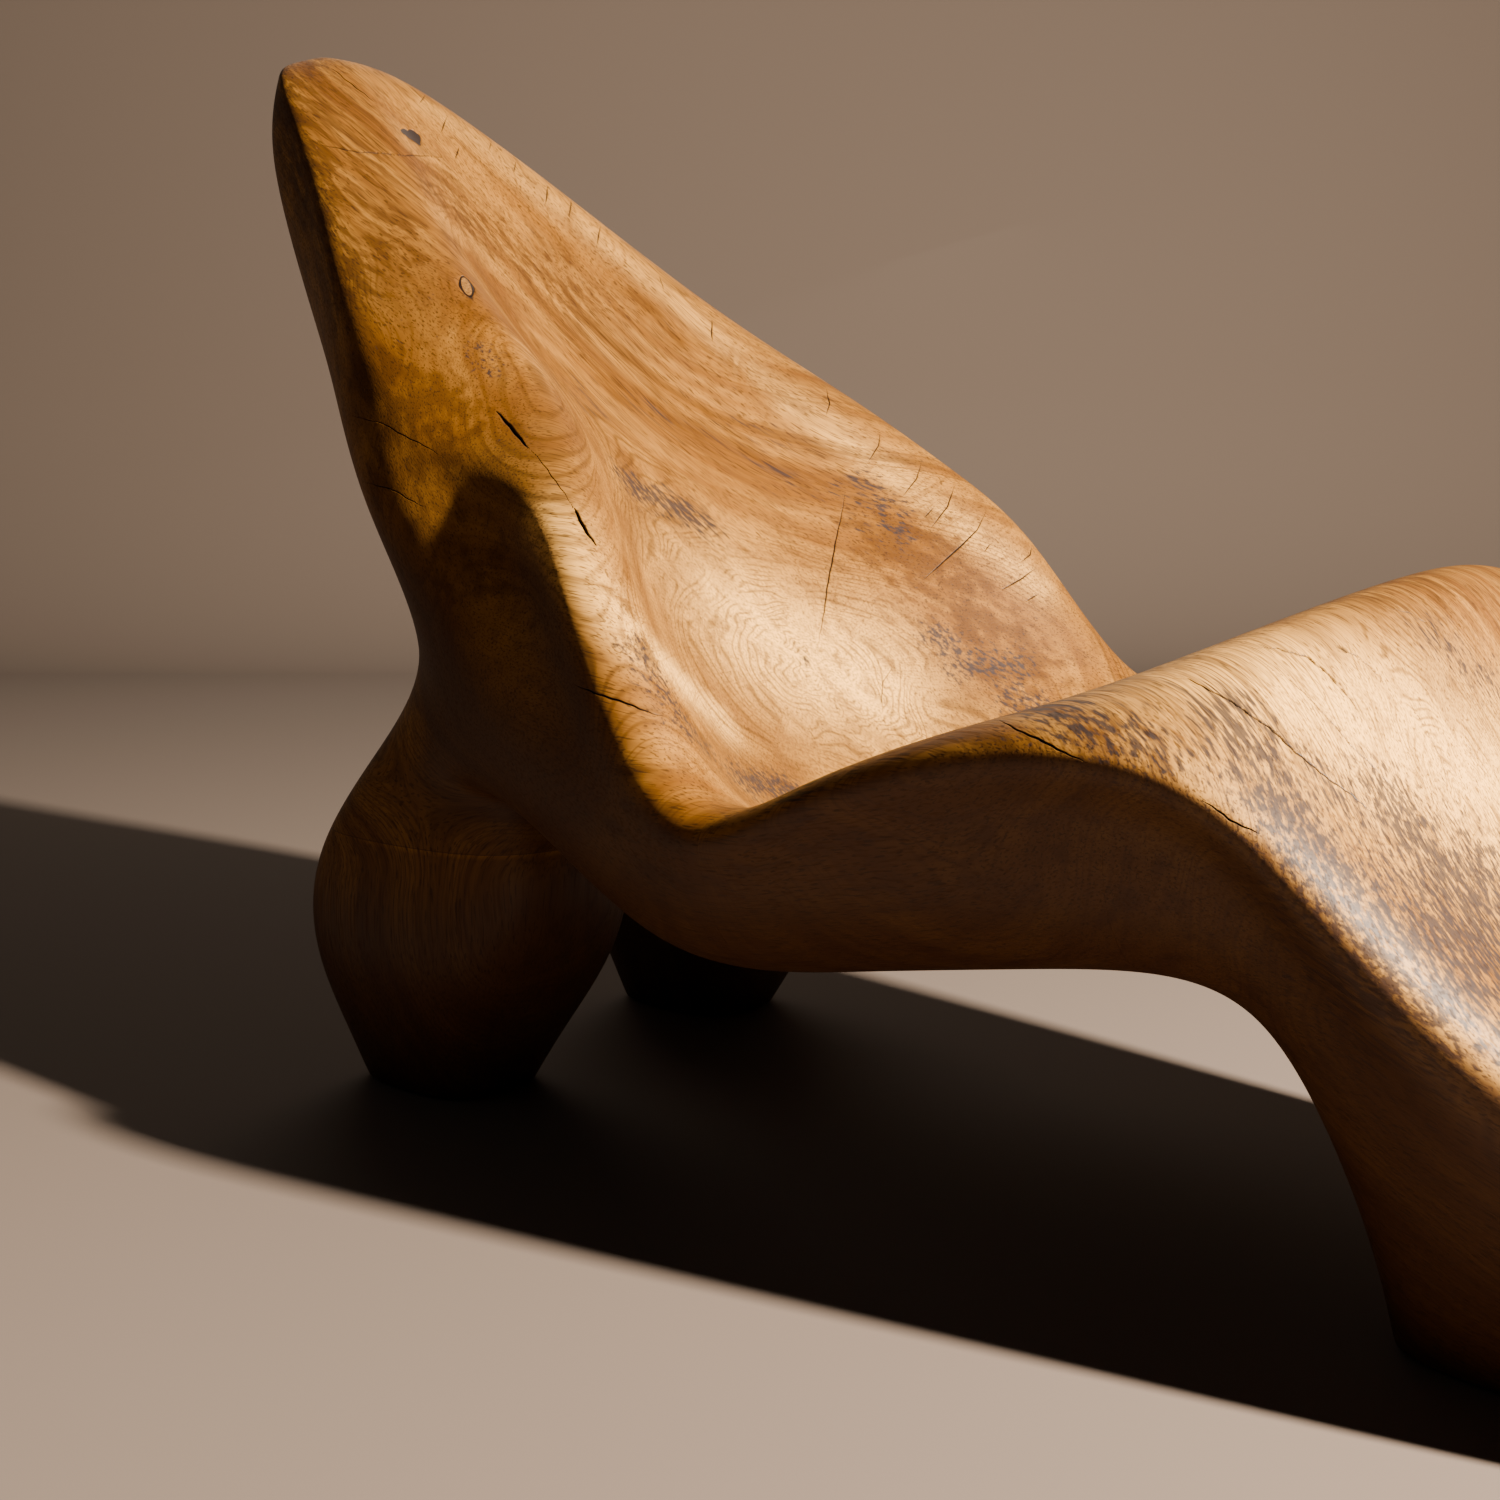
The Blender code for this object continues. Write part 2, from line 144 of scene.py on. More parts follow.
bpy.ops.mesh.extrude_region_move(TRANSFORM_OT_translate={"value": (0, 0, WALL_HEIGHT)})
floor_mesh = bmesh.from_edit_mesh(floor.data)
for edge in floor_mesh.edges:
    edge.select_set(all(abs(v.co.y) < 1e-6 and abs(v.co.z) < 1e-6 for v in edge.verts))
bmesh.update_edit_mesh(floor.data)
bpy.ops.mesh.bevel(offset=SWEEP_RADIUS, segments=24, affect="EDGES")
bpy.ops.object.mode_set(mode="OBJECT")
floor.data.transform(Matrix.Translation(wall_foot) @ Matrix.Rotation(CAMERA_TURN, 4, "Z"))
bpy.ops.object.shade_smooth()

paper, tree, shader = new_finish("pale_backdrop_paper")
place = add_node(tree, "TexCoord")
tooth = add_node(tree, "TexNoise", {"Scale": 900.0, "Detail": 2.0}, Vector=place.outputs["Object"])
tint = add_node(tree, "MapRange", {"To Min": 0.94, "To Max": 1.0}, Value=tooth.outputs["Fac"])
scale = {"operation": "SCALE", 0: linear(FLOOR_COLOUR)[:3]}
cast = add_node(tree, "VectorMath", scale, Scale=tint.outputs[0])
tree.links.new(cast.outputs[0], shader.inputs["Base Color"])
shader.inputs["Roughness"].default_value = 0.9
floor.data.materials.append(paper)
print("floor: sweep", SWEEP_RADIUS, "m, wall foot at", [round(v, 2) for v in wall_foot])

# %% Lights
KEY_PLACE = Vector((3.30, 0.02, 1.85))
KEY_SIZE = 0.16
KEY_POWER = 900.0
KEY_COLOUR = "#FFEEDC"
FILL_PLACE = Vector((-1.6, -3.4, 2.6))
FILL_SIZE = 3.0
FILL_POWER = 1.6
FILL_COLOUR = "#E8ECF4"
BACK_FILL_PLACE = Vector((-3.0, 2.6, 2.6))
BACK_FILL_POWER = 22.0
BACK_FILL_COLOUR = "#FFF4E8"
WORLD_COLOUR, WORLD_STRENGTH = "#D9D2CB", 0.035
AIM = Vector((-0.05, 0.0, 0.40))


def area_light(name, at, size, power, colour):
    """A square soft lamp that faces the chaise."""
    bpy.ops.object.light_add(type="AREA", location=at, rotation=(at - AIM).to_track_quat("Z", "Y").to_euler())
    lamp = bpy.context.object
    lamp.name = name
    lamp.data.size = size
    lamp.data.energy = power
    lamp.data.color = linear(colour)[:3]
    return lamp


area_light("key", KEY_PLACE, KEY_SIZE, KEY_POWER, KEY_COLOUR)
area_light("fill", FILL_PLACE, FILL_SIZE, FILL_POWER, FILL_COLOUR)
area_light("back_fill", BACK_FILL_PLACE, FILL_SIZE, BACK_FILL_POWER, BACK_FILL_COLOUR)
world = bpy.context.scene.world or bpy.data.worlds.new("studio")
bpy.context.scene.world = world
world.use_nodes = True
background = world.node_tree.nodes["Background"]
background.inputs["Color"].default_value = linear(WORLD_COLOUR)
background.inputs["Strength"].default_value = WORLD_STRENGTH
print("lights: key", KEY_POWER, "W, fill", FILL_POWER, "W and", BACK_FILL_POWER, "W from behind")

# %% [markdown]
# ## The carved form
# A form this soft is modelled from a few cross-sections. Each station below is one section of the body,
# from the tip of the back to the toe: where its rim and its keel lie in the side view, its half widths
# on the way down, how far the rim rolls in, and how deep the dish is. The numbers are the drawing of the
# chaise in metres. They follow the sections of the frame's blocks, and differ a little where a closer
# look at the photograph asked for it: at the tip, along the right edge of the back and on the far rim.

# %% Stations of the carved form
#    name          rim x, z          keel x, z        rim    should. flank  belly  roll   lip    dish
STATIONS = (
    ("tip_cap",   (-0.750, 0.934), (-0.763, 0.912), 0.031, 0.031, 0.029, 0.024, 0.013, 0.007, -0.003),
    ("tip_end",   (-0.732, 0.932), (-0.764, 0.884), 0.066, 0.060, 0.050, 0.047, 0.040, 0.024, -0.004),
    ("tip",       (-0.680, 0.908), (-0.757, 0.830), 0.117, 0.102, 0.084, 0.072, 0.062, 0.055, -0.006),
    ("head",      (-0.560, 0.808), (-0.692, 0.708), 0.206, 0.162, 0.120, 0.092, 0.082, 0.085, 0.022),
    ("shoulders", (-0.400, 0.696), (-0.608, 0.572), 0.260, 0.212, 0.168, 0.110, 0.072, 0.100, 0.064),
    ("ribs",      (-0.270, 0.610), (-0.492, 0.462), 0.288, 0.205, 0.240, 0.146, 0.062, 0.055, 0.092),
    ("waist",     (-0.180, 0.532), (-0.420, 0.370), 0.318, 0.215, 0.256, 0.182, 0.054, 0.047, 0.104),
    ("loin",      (-0.112, 0.462), (-0.330, 0.305), 0.332, 0.268, 0.268, 0.245, 0.048, 0.043, 0.106),
    ("lumbar",    (-0.046, 0.384), (-0.225, 0.245), 0.339, 0.305, 0.290, 0.250, 0.044, 0.040, 0.103),
    ("valley",    (+0.016, 0.300), (-0.090, 0.155), 0.341, 0.320, 0.295, 0.240, 0.034, 0.031, 0.084),
    ("thigh",     (+0.088, 0.345), (+0.050, 0.180), 0.340, 0.314, 0.292, 0.235, 0.030, 0.027, 0.075),
    ("knee_back", (+0.200, 0.386), (+0.170, 0.200), 0.340, 0.302, 0.290, 0.230, 0.030, 0.027, 0.026),
    ("knee",      (+0.290, 0.393), (+0.278, 0.218), 0.338, 0.286, 0.278, 0.225, 0.030, 0.027, -0.020),
    ("shin_top",  (+0.355, 0.378), (+0.334, 0.192), 0.327, 0.276, 0.257, 0.195, 0.032, 0.029, -0.008),
    ("shin",      (+0.410, 0.325), (+0.364, 0.107), 0.308, 0.266, 0.228, 0.164, 0.035, 0.031, 0.010),
    ("calf",      (+0.465, 0.265), (+0.386, 0.010), 0.288, 0.248, 0.192, 0.138, 0.035, 0.031, 0.016),
    ("ankle",     (+0.545, 0.195), (+0.394, -0.09), 0.260, 0.218, 0.157, 0.128, 0.035, 0.031, 0.016),
    ("foot",      (+0.645, 0.115), (+0.600, -0.09), 0.224, 0.188, 0.152, 0.125, 0.030, 0.027, 0.010),
    ("toe",       (+0.728, 0.058), (+0.732, -0.09), 0.184, 0.158, 0.132, 0.110, 0.025, 0.022, 0.004),
    ("toe_end",   (+0.770, 0.025), (+0.772, -0.07), 0.124, 0.116, 0.104, 0.086, 0.020, 0.018, 0.000),
)
STATION_NAMES = [station[0] for station in STATIONS]
# The left end of the knee crest stands higher than the right, and each station takes a share of that
LEFT_RISE = 0.052
RISE_SHARES = {
    "tip": 0.25, "head": 0.55, "shoulders": 0.25, "ribs": 0.20, "waist": 0.34, "loin": 0.75,
    "lumbar": 0.30, "valley": 0.70, "thigh": 0.80, "knee_back": 1.05, "knee": 1.50, "shin_top": 1.30,
    "shin": 0.85, "calf": 0.60, "ankle": 0.30,
}
# Rim, shoulder, flank and lip where the right side of the back differs from the left
RIGHT_SIDE = {
    "tip_end": (0.063, 0.061, 0.058, 0.014), "tip": (0.088, 0.085, 0.082, 0.022),
    "head": (0.132, 0.127, 0.118, 0.036), "shoulders": (0.200, 0.190, 0.160, 0.088),
    "ribs": (0.204, 0.236, 0.252, 0.086),
    "waist": (0.252, 0.210, 0.268, 0.047), "loin": (0.296, 0.256, 0.268, 0.043),
    "lumbar": (0.313, 0.300, 0.290, 0.040), "valley": (0.328, 0.316, 0.295, 0.031),
}
# How far across its half the floor of the dish reaches, and how deep it is there: right, then left
DISH_ACROSS, DISH_DOWN = (0.66, 0.54), (0.86, 0.78)
SHOULDER_DOWN, FLANK_DOWN, BELLY_DOWN = 0.20, 0.55, 0.94


def section_points(station):
    """The eighteen points of a section, from the top centre down the right side and round."""
    name, rim, keel, half, shoulder, flank, belly, roll, lip, dish = station
    rim, keel = Vector((rim[0], 0, rim[1])), Vector((keel[0], 0, keel[1]))
    down = keel - rim
    rise = LEFT_RISE * RISE_SHARES.get(name, 0.0)
    left_side = (half, shoulder, flank, lip)
    right_side = RIGHT_SIDE.get(name, left_side)
    bottom, middle = dish / down.length, (half - right_side[0]) / 2

    def at(y, share):
        point = rim + down * share
        point.y = y
        point.z += rise * (0.5 + y / (2 * half)) * (1 - share)
        return point

    def outline(sign, side, across, depth):
        side_half, side_shoulder, side_flank, side_lip = side
        widest = side_lip / down.length
        points = [
            (middle * sign + across * (side_half - roll - middle * sign), depth * bottom),
            (side_half - roll, 0.0),
            (side_half, widest),
            (side_shoulder, widest + SHOULDER_DOWN * (1 - widest)),
            (side_flank, widest + FLANK_DOWN * (1 - widest)),
            (belly, BELLY_DOWN),
            (belly * 2 / 3, 1.0),
            (belly / 3, 1.0),
        ]
        return [at(sign * y, share) for y, share in points]

    right = outline(-1, right_side, DISH_ACROSS[0], DISH_DOWN[0])
    left = outline(1, left_side, DISH_ACROSS[1], DISH_DOWN[1])
    return [at(middle, bottom), *right, at(0, 1.0), *reversed(left)]


SECTION_POINTS = len(section_points(STATIONS[0]))
print("form:", len(STATIONS), "sections of", SECTION_POINTS, "points")

# %% [markdown]
# ### From a cylinder to a cage
# The cage starts as a cylinder with as many sides as a section has points. Its upright edges are
# subdivided until it has one ring for each section, and then every ring is moved onto its section, as a
# modeller would pull the rings into place one by one. Building the faces by hand would also work, but
# the primitive already has its sides and its end caps.

# %% Cage
def edit(obj, mode="VERT"):
    """Goes into edit mode on one object with nothing selected, and returns its mesh to select from."""
    bpy.ops.object.select_all(action="DESELECT")
    obj.select_set(True)
    bpy.context.view_layer.objects.active = obj
    bpy.ops.object.mode_set(mode="EDIT")
    bpy.ops.mesh.select_mode(type=mode)
    bpy.ops.mesh.select_all(action="DESELECT")
    return bmesh.from_edit_mesh(obj.data)


bpy.ops.mesh.primitive_cylinder_add(vertices=SECTION_POINTS, radius=1.0, depth=1.0, end_fill_type="NGON")
form = bpy.context.object
form.name = "carved_form"
cage = edit(form, "EDGE")
for edge in cage.edges:
    edge.select_set(abs(edge.verts[0].co.z - edge.verts[1].co.z) > 0.5)
bmesh.update_edit_mesh(form.data)
bpy.ops.mesh.subdivide(number_cuts=len(STATIONS) - 2)
cage = bmesh.from_edit_mesh(form.data)
places = {}
for corner in cage.verts:
    ring = round((corner.co.z + 0.5) * (len(STATIONS) - 1))
    column = round(math.atan2(corner.co.x, corner.co.y) / (2 * math.pi) * SECTION_POINTS) % SECTION_POINTS
    places[corner] = (ring, column)
for corner, (ring, column) in places.items():
    corner.co = section_points(STATIONS[ring])[column]
bmesh.update_edit_mesh(form.data)
print("cage:", len(cage.verts), "corners,", len(cage.faces), "faces")

# %% [markdown]
# ### Legs drawn out of the belly
# Each rear leg grows from four belly faces. They are extruded downwards level by level, and at each
# level the nine corners are moved onto the outline of the bulb: wide in the middle, narrow at the foot.
# Extruding keeps everything in four-sided faces, which round off without a pucker.

# %% Legs
LEG_FROM, LEG_TO = "waist", "lumbar"
LEG_COLUMNS = {-1: (6, 8), 1: (10, 12)}
LEG_CORNER = 0.90
LEG_Y, LEG_SWAY = 0.165, 0.028         # out from between the legs, which lies left of the middle
# Centre x, height, half length and half breadth of each level. The last one lies under the floor.
LEG_LEVELS = (
    (-0.378, 0.290, 0.095, 0.085),
    (-0.404, 0.205, 0.146, 0.106),
    (-0.416, 0.120, 0.138, 0.110),
    (-0.434, 0.030, 0.088, 0.070),
    (-0.440, -0.04, 0.060, 0.046),
)
leg_rings = range(STATION_NAMES.index(LEG_FROM), STATION_NAMES.index(LEG_TO) + 1)
bpy.ops.mesh.select_mode(type="FACE")
for side, (first, last) in LEG_COLUMNS.items():
    bpy.ops.mesh.select_all(action="DESELECT")
    cage = bmesh.from_edit_mesh(form.data)
    sections = [section_points(STATIONS[ring]) for ring in leg_rings]
    roots = [section[column] for section in sections for column in range(first, last + 1)]
    for face in cage.faces:
        face.select_set(all(any((v.co - root).length < 1e-6 for root in roots) for v in face.verts))
    bmesh.update_edit_mesh(form.data)
    for x, z, half_length, half_breadth in LEG_LEVELS:
        bpy.ops.mesh.extrude_region_move(TRANSFORM_OT_translate={"value": (0, 0, -0.01)})
        cage = bmesh.from_edit_mesh(form.data)
        by_x = sorted((v for v in cage.verts if v.select), key=lambda v: v.co.x)
        for fore in (-1, 0, 1):
            across = sorted(by_x[3 * (fore + 1):3 * (fore + 2)], key=lambda v: abs(v.co.y))
            for out, corner in zip((-1, 0, 1), across):
                pull = LEG_CORNER if fore and out else 1.0
                y = LEG_SWAY + side * (LEG_Y + out * half_breadth * pull)
                corner.co = (x + fore * half_length * pull, y, z)
        bmesh.update_edit_mesh(form.data)
bpy.ops.mesh.select_all(action="SELECT")
bpy.ops.mesh.normals_make_consistent(inside=False)
bpy.ops.object.mode_set(mode="OBJECT")
print("cage with legs:", len(form.data.polygons), "faces")

# %% [markdown]
# ### Rounding, feet and size
# A Subdivision Surface rounds the cage to a mesh of about 6 mm. The form is then sawn off level at the
# floor and scaled to the box of the frame's own blocks, which stand on thin felt pads.

# %% Rounded form
ROUNDING = 4
WOOD_NODES = ("backrest", "seat", "leg_rest", "rear_leg_right", "rear_leg_left")


def apply_modifier(obj, kind, **settings):
    """Adds one modifier to an object and applies it."""
    bpy.context.view_layer.objects.active = obj
    modifier = obj.modifiers.new(kind.lower(), kind)
    for key, value in settings.items():
        setattr(modifier, key, value)
    bpy.ops.object.modifier_apply(modifier=modifier.name)


def saw(obj, point, normal):
    """Saws off what lies on the normal's side of a plane, and closes the cut."""
    edit(obj)
    bpy.ops.mesh.select_all(action="SELECT")
    bpy.ops.mesh.bisect(plane_co=point, plane_no=normal, use_fill=True, clear_outer=True)
    bpy.ops.object.mode_set(mode="OBJECT")


def points_of(obj, what="co"):
    """All of a mesh's points, or their normals, as rows of numbers."""
    values = np.empty(3 * len(obj.data.vertices), dtype=np.float32)
    obj.data.vertices.foreach_get(what, values)
    return values.reshape(-1, 3).astype(float)


apply_modifier(form, "SUBSURF", levels=ROUNDING, render_levels=ROUNDING)
saw(form, (0, 0, 0), (0, 0, -1))
wood_boxes = [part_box(name) for name in WOOD_NODES]
wood_low = Vector([min(low[axis] for low, _ in wood_boxes) for axis in range(3)])
wood_high = Vector([max(high[axis] for _, high in wood_boxes) for axis in range(3)])
drawn = points_of(form)
drawn_low, drawn_high = Vector(drawn.min(axis=0)), Vector(drawn.max(axis=0))
stretch = [(wood_high - wood_low)[axis] / (drawn_high - drawn_low)[axis] for axis in range(3)]
to_frame = Matrix.Translation(wood_low) @ Matrix.Diagonal((*stretch, 1)) @ Matrix.Translation(-drawn_low)
form.data.transform(to_frame)
print("form:", len(form.data.polygons), "faces, stretched by", [round(s, 4) for s in stretch])

# %% [markdown]
# ### Drying checks
# Hardwood this thick splits a little as it dries. Each check below is a line read off the photograph: it
# is cast from the camera onto the form, so it lies exactly where the picture shows it. The mesh is made
# finer only along these lines, step by step, and then pressed in by a millimetre or two. Real splits
# catch light on one lip and hold shade on the other, which a painted line can't do.
# Each check is also painted dark, darkest on its line and fading out a little past its lips: painted shade
# inside the check.

# %% Lines on the form
surface = BVHTree.FromObject(form, bpy.context.evaluated_depsgraph_get())
camera_axes = Euler(camera_turning).to_matrix()


def on_wood(x, y):
    """The place on the form that shows at a pixel of the picture."""
    ray = Vector((x - PICTURE_SIDE / 2, PICTURE_SIDE / 2 - y, -FOCAL_LENGTH)) / FOCAL_LENGTH
    return surface.ray_cast(Vector(CAMERA_PLACE), (camera_axes @ ray).normalized())[0]


def trace(line, wander=0.0, seed=0):
    """Close points on the form along a line of pixels, with how far each lies from start to end."""
    line = np.array(line, float)
    lengths = np.concatenate([[0], np.cumsum(np.linalg.norm(np.diff(line, axis=0), axis=1))])
    along = np.arange(0, lengths[-1], 0.5)
    x, y = (np.interp(along, lengths, line[:, axis]) for axis in (0, 1))
    shake = wander * (np.sin(along * 0.13 + seed) + 0.6 * np.sin(along * 0.41 + 2.3 * seed))
    hits = [(on_wood(*pixel), share) for *pixel, share in zip(x + shake, y - shake, along / lengths[-1])]
    return [(point, share) for point, share in hits if point]


# Pixels along each check, then its width and depth in millimetres
CHECKS = (
    (((318, 145), (360, 152), (391, 154), (456, 158)), 1.5, 2.2),
    (((328, 66), (352, 84), (377, 105)), 1.1, 2.0),
    (((455, 159), (459, 147)), 1.3, 1.8),
    (((345, 413), (383, 424), (444, 457)), 0.9, 2.0),
    (((360, 480), (395, 491), (425, 508)), 0.9, 1.8),
    (((496, 410), (512, 430), (530, 449)), 2.6, 3.6),
    (((526, 445), (548, 470), (575, 510)), 0.7, 1.2),
    (((571, 504), (583, 525), (597, 547)), 2.6, 3.6),
    (((425, 95), (419, 104)), 1.2, 1.8),
    (((447, 116), (441, 133)), 1.2, 1.8),
    (((492, 140), (489, 150)), 0.8, 1.2),
    (((516, 160), (514, 172)), 0.9, 1.4),
    (((548, 184), (545, 205)), 1.2, 1.8),
    (((571, 198), (569, 217)), 1.2, 1.8),
    (((600, 225), (597, 245)), 1.2, 1.8),
    (((659, 275), (664, 290)), 0.8, 1.2),
    (((712, 319), (712, 342)), 1.2, 1.8),
    (((846, 490), (830, 571), (818, 650)), 1.2, 1.8),
    (((955, 484), (947, 507), (931, 528)), 1.1, 1.5),
    (((987, 509), (977, 530), (962, 545), (922, 581)), 1.2, 1.6),
    (((1032, 545), (1030, 555), (1021, 562)), 1.1, 1.5),
    (((1036, 568), (1021, 579), (1000, 591)), 1.1, 1.5),
    (((934, 507), (924, 518)), 0.9, 1.2),
    (((991, 543), (985, 551)), 0.9, 1.2),
    (((1040, 593), (1025, 602)), 0.9, 1.2),
    (((826, 388), (829, 404), (826, 416)), 1.1, 1.5),
    (((880, 432), (878, 446), (868, 462)), 1.0, 1.4),
    (((921, 462), (917, 478), (902, 497)), 1.0, 1.4),
    (((895, 664), (883, 682), (881, 700), (884, 715)), 0.8, 1.0),
    (((797, 714), (820, 747)), 0.8, 1.2),
    (((1170, 678), (1187, 679), (1222, 696), (1265, 724), (1311, 765), (1351, 795), (1379, 817)), 1.9, 2.2),
    (((1250, 648), (1276, 648), (1305, 656), (1328, 673), (1362, 714)), 2.0, 2.4),
    (((1259, 663), (1288, 678), (1319, 708), (1351, 745), (1388, 782), (1425, 817)), 1.1, 1.4),
    (((1328, 640), (1357, 656), (1379, 676), (1397, 699)), 1.2, 1.6),
    (((1385, 607), (1408, 612), (1431, 627), (1438, 639)), 1.2, 1.6),
    (((1408, 699), (1454, 779)), 0.9, 1.2),
    (((1451, 722), (1494, 785)), 0.9, 1.2),
    (((1202, 800), (1230, 820), (1259, 834)), 1.1, 1.4),
    (((570, 684), (664, 717)), 1.3, 1.6),
    (((996, 719), (1086, 763)), 1.3, 1.8),
)
check_points = []
for seed, (line, width, depth) in enumerate(CHECKS):
    for point, share in trace(line, wander=0.35, seed=seed):
        opening = math.sin(math.pi * share) ** 0.6
        check_points.append((point, 0.0005 * width * opening, 0.001 * depth * opening))
print("checks:", len(CHECKS), "lines of", len(check_points), "points")

# %% Press the checks in
REFINED_BANDS = (0.0040, 0.0020, 0.0010, 0.00045)  # a pass halves the faces this close to a check
LEAST_HALF_WIDTH = 0.0001
LIP_CURVE = 0.7                        # below 1, so that the walls of a check are steep
CHECK_SHADE_REACH = 1.6                       # how far the painted shade of a check reaches, in half widths


def nearest(points, places):
    """For each point, the number of the nearest place and how far it is."""
    tree = KDTree(len(places))
    for number, place in enumerate(places):
        tree.insert(place, number)
    tree.balance()
    found = [tree.find(point)[1:] for point in points]
    return np.array([number for number, _ in found]), np.array([distance for _, distance in found])


check_places = [point for point, _, _ in check_points]
for band in REFINED_BANDS:
    near = nearest(points_of(form), check_places)[1] < band
    mesh = edit(form, "FACE")
    for face in mesh.faces:
        face.select_set(any(near[corner.index] for corner in face.verts))
    bmesh.update_edit_mesh(form.data)
    bpy.ops.mesh.subdivide(number_cuts=1, smoothness=1.0)
    bpy.ops.object.mode_set(mode="OBJECT")
which, distance = nearest(points_of(form), check_places)
half_width = np.array([half for _, half, _ in check_points])[which]
depth = np.array([depth for _, _, depth in check_points])[which]
half_widths_away = distance / np.maximum(half_width, LEAST_HALF_WIDTH)
sunk = depth * np.clip(1 - half_widths_away, 0, 1) ** LIP_CURVE
pressed = points_of(form) - points_of(form, "normal") * sunk[:, None]
form.data.vertices.foreach_set("co", pressed.astype(np.float32).ravel())
# The painted shade of the checks: dark on each check's line, fading out past its lips.
check_shade = form.data.attributes.new("check_shade", "FLOAT", "POINT")
check_shade.data.foreach_set("value", np.clip(CHECK_SHADE_REACH - half_widths_away, 0, 1).astype(np.float32))
form.data.update()
print("form:", len(form.data.polygons), "faces with the checks pressed in")

# %% [markdown]
# ### Sawing the form into its blocks
# The five blocks are copies of the form, each sawn on the glued faces. The saw takes only a hair's
# breadth, so the curves run on across the joint. The legs come off on a level face under the hips.

# %% Blocks
SAW_GAP = 0.00005
BACK_JOINT = ((0.018, 0.300), (-0.018, 0.155))
KNEE_JOINT = ((0.292, 0.410), (0.262, 0.220))
LEG_JOINT_Z = 0.225
LEG_OPEN_X = -0.230
joint_z = (to_frame @ Vector((0, 0, LEG_JOINT_Z))).z
open_x = (to_frame @ Vector((LEG_OPEN_X, 0, 0))).x


def glued_face(joint):
    """A point on a glued face, and the direction square to it, towards the foot end."""
    top, bottom = [to_frame @ Vector((x, 0, z)) for x, z in joint]
    return top, (bottom - top).cross(Vector((0, 1, 0))).normalized()


def own_copy(obj, name):
    """A separate copy of an object and its mesh."""
    copy = obj.copy()
    copy.data = obj.data.copy()
    copy.name = copy.data.name = name
    copy.parent = None
    bpy.context.scene.collection.objects.link(copy)
    return copy


def remove_corners(obj, unwanted):
    """Deletes the corners for which a test holds, with their faces."""
    mesh = edit(obj)
    for corner in mesh.verts:
        corner.select_set(unwanted(corner.co))
    mesh.select_flush_mode()
    bmesh.update_edit_mesh(obj.data)
    bpy.ops.mesh.delete(type="VERT")
    bpy.ops.object.mode_set(mode="OBJECT")


back_point, forward = glued_face(BACK_JOINT)
knee_point, knee_forward = glued_face(KNEE_JOINT)
blocks = {name: own_copy(form, name + "_wood") for name in WOOD_NODES}
saw(blocks["backrest"], back_point - forward * SAW_GAP, forward)
saw(blocks["seat"], back_point + forward * SAW_GAP, -forward)
saw(blocks["seat"], knee_point - knee_forward * SAW_GAP, knee_forward)
saw(blocks["leg_rest"], knee_point + knee_forward * SAW_GAP, -knee_forward)
for side, name in ((-1, "rear_leg_right"), (1, "rear_leg_left")):
    saw(blocks[name], (0, 0, joint_z - SAW_GAP), (0, 0, 1))
    remove_corners(blocks[name], lambda co, side=side: co.x > open_x or co.y * side < 0)
hips = edit(blocks["backrest"], "FACE")
for face in hips.faces:
    below = any(v.co.z < joint_z + SAW_GAP for v in face.verts)
    face.select_set(below and all(v.co.x < open_x for v in face.verts))
bmesh.update_edit_mesh(blocks["backrest"].data)
bpy.ops.mesh.bisect(plane_co=(0, 0, joint_z + SAW_GAP), plane_no=(0, 0, -1), use_fill=True, clear_outer=True)
bpy.ops.object.mode_set(mode="OBJECT")
bpy.data.objects.remove(form)
for name, block in blocks.items():
    print("block:", block.name, len(block.data.polygons), "faces")

# %% [markdown]
# ### Inlays and mortises
# A small oval plug and a dark filling are let into the back. Each is cut out of a copy of the block with a
# prism, so its top follows the carved face, and a slightly larger prism cuts its pocket. The dark ring that
# the photograph shows round the plug is glue, and is a piece of its own. The same cut opens the mortises
# for the tenons and dowels, which are the frame's own pieces with a hair of room.

# %% Inlays and mortises
PLUG_AT, PLUG_TURN, PLUG_SIZE, PLUG_DEPTH = (-0.410, -0.125), math.radians(85), (0.0290, 0.0078), 0.020
KNOT_AT, KNOT_SIZE, KNOT_DEPTH = (-0.607, -0.012), 0.025, 0.014
KNOT_OUTLINE = (0.9, 1.1, 0.6, 0.9, 1.2, 0.7, 1.0, 0.65)   # radii on the way round, in shares
KNOT_RAGGED, KNOT_NICKS = 0.05, 7
RING_WALL = 0.0026                     # the dark glue round the plug
PRISM_ABOVE = 0.02                     # how far a prism stands out of the carved face
ABOVE_ALL = 2.0                        # a height above the whole chaise
JOINT_ROOM = 0.0002


def inlay_prism(name, at, turn, radius_at, extra, depth):
    """An upright prism on the carved face, with the radius that a function gives for each angle."""
    above = to_frame @ Vector((*at, 0))
    point, facing, _, _ = surface.ray_cast(Vector((above.x, above.y, ABOVE_ALL)), Vector((0, 0, -1)))
    bpy.ops.mesh.primitive_cylinder_add(vertices=64, radius=1.0, depth=1.0)
    prism = bpy.context.object
    prism.name = name
    rows = points_of(prism)
    angles = np.arctan2(rows[:, 1], rows[:, 0])
    radii = np.array([radius_at(angle) + extra for angle in angles])
    heights = np.where(rows[:, 2] > 0, PRISM_ABOVE, -depth - extra)
    rows = np.stack([radii * np.cos(angles), radii * np.sin(angles), heights], axis=1)
    prism.data.vertices.foreach_set("co", rows.astype(np.float32).ravel())
    pose = facing.to_track_quat("Z", "Y").to_matrix().to_4x4() @ Matrix.Rotation(turn, 4, "Z")
    prism.data.transform(Matrix.Translation(point) @ pose)
    return prism


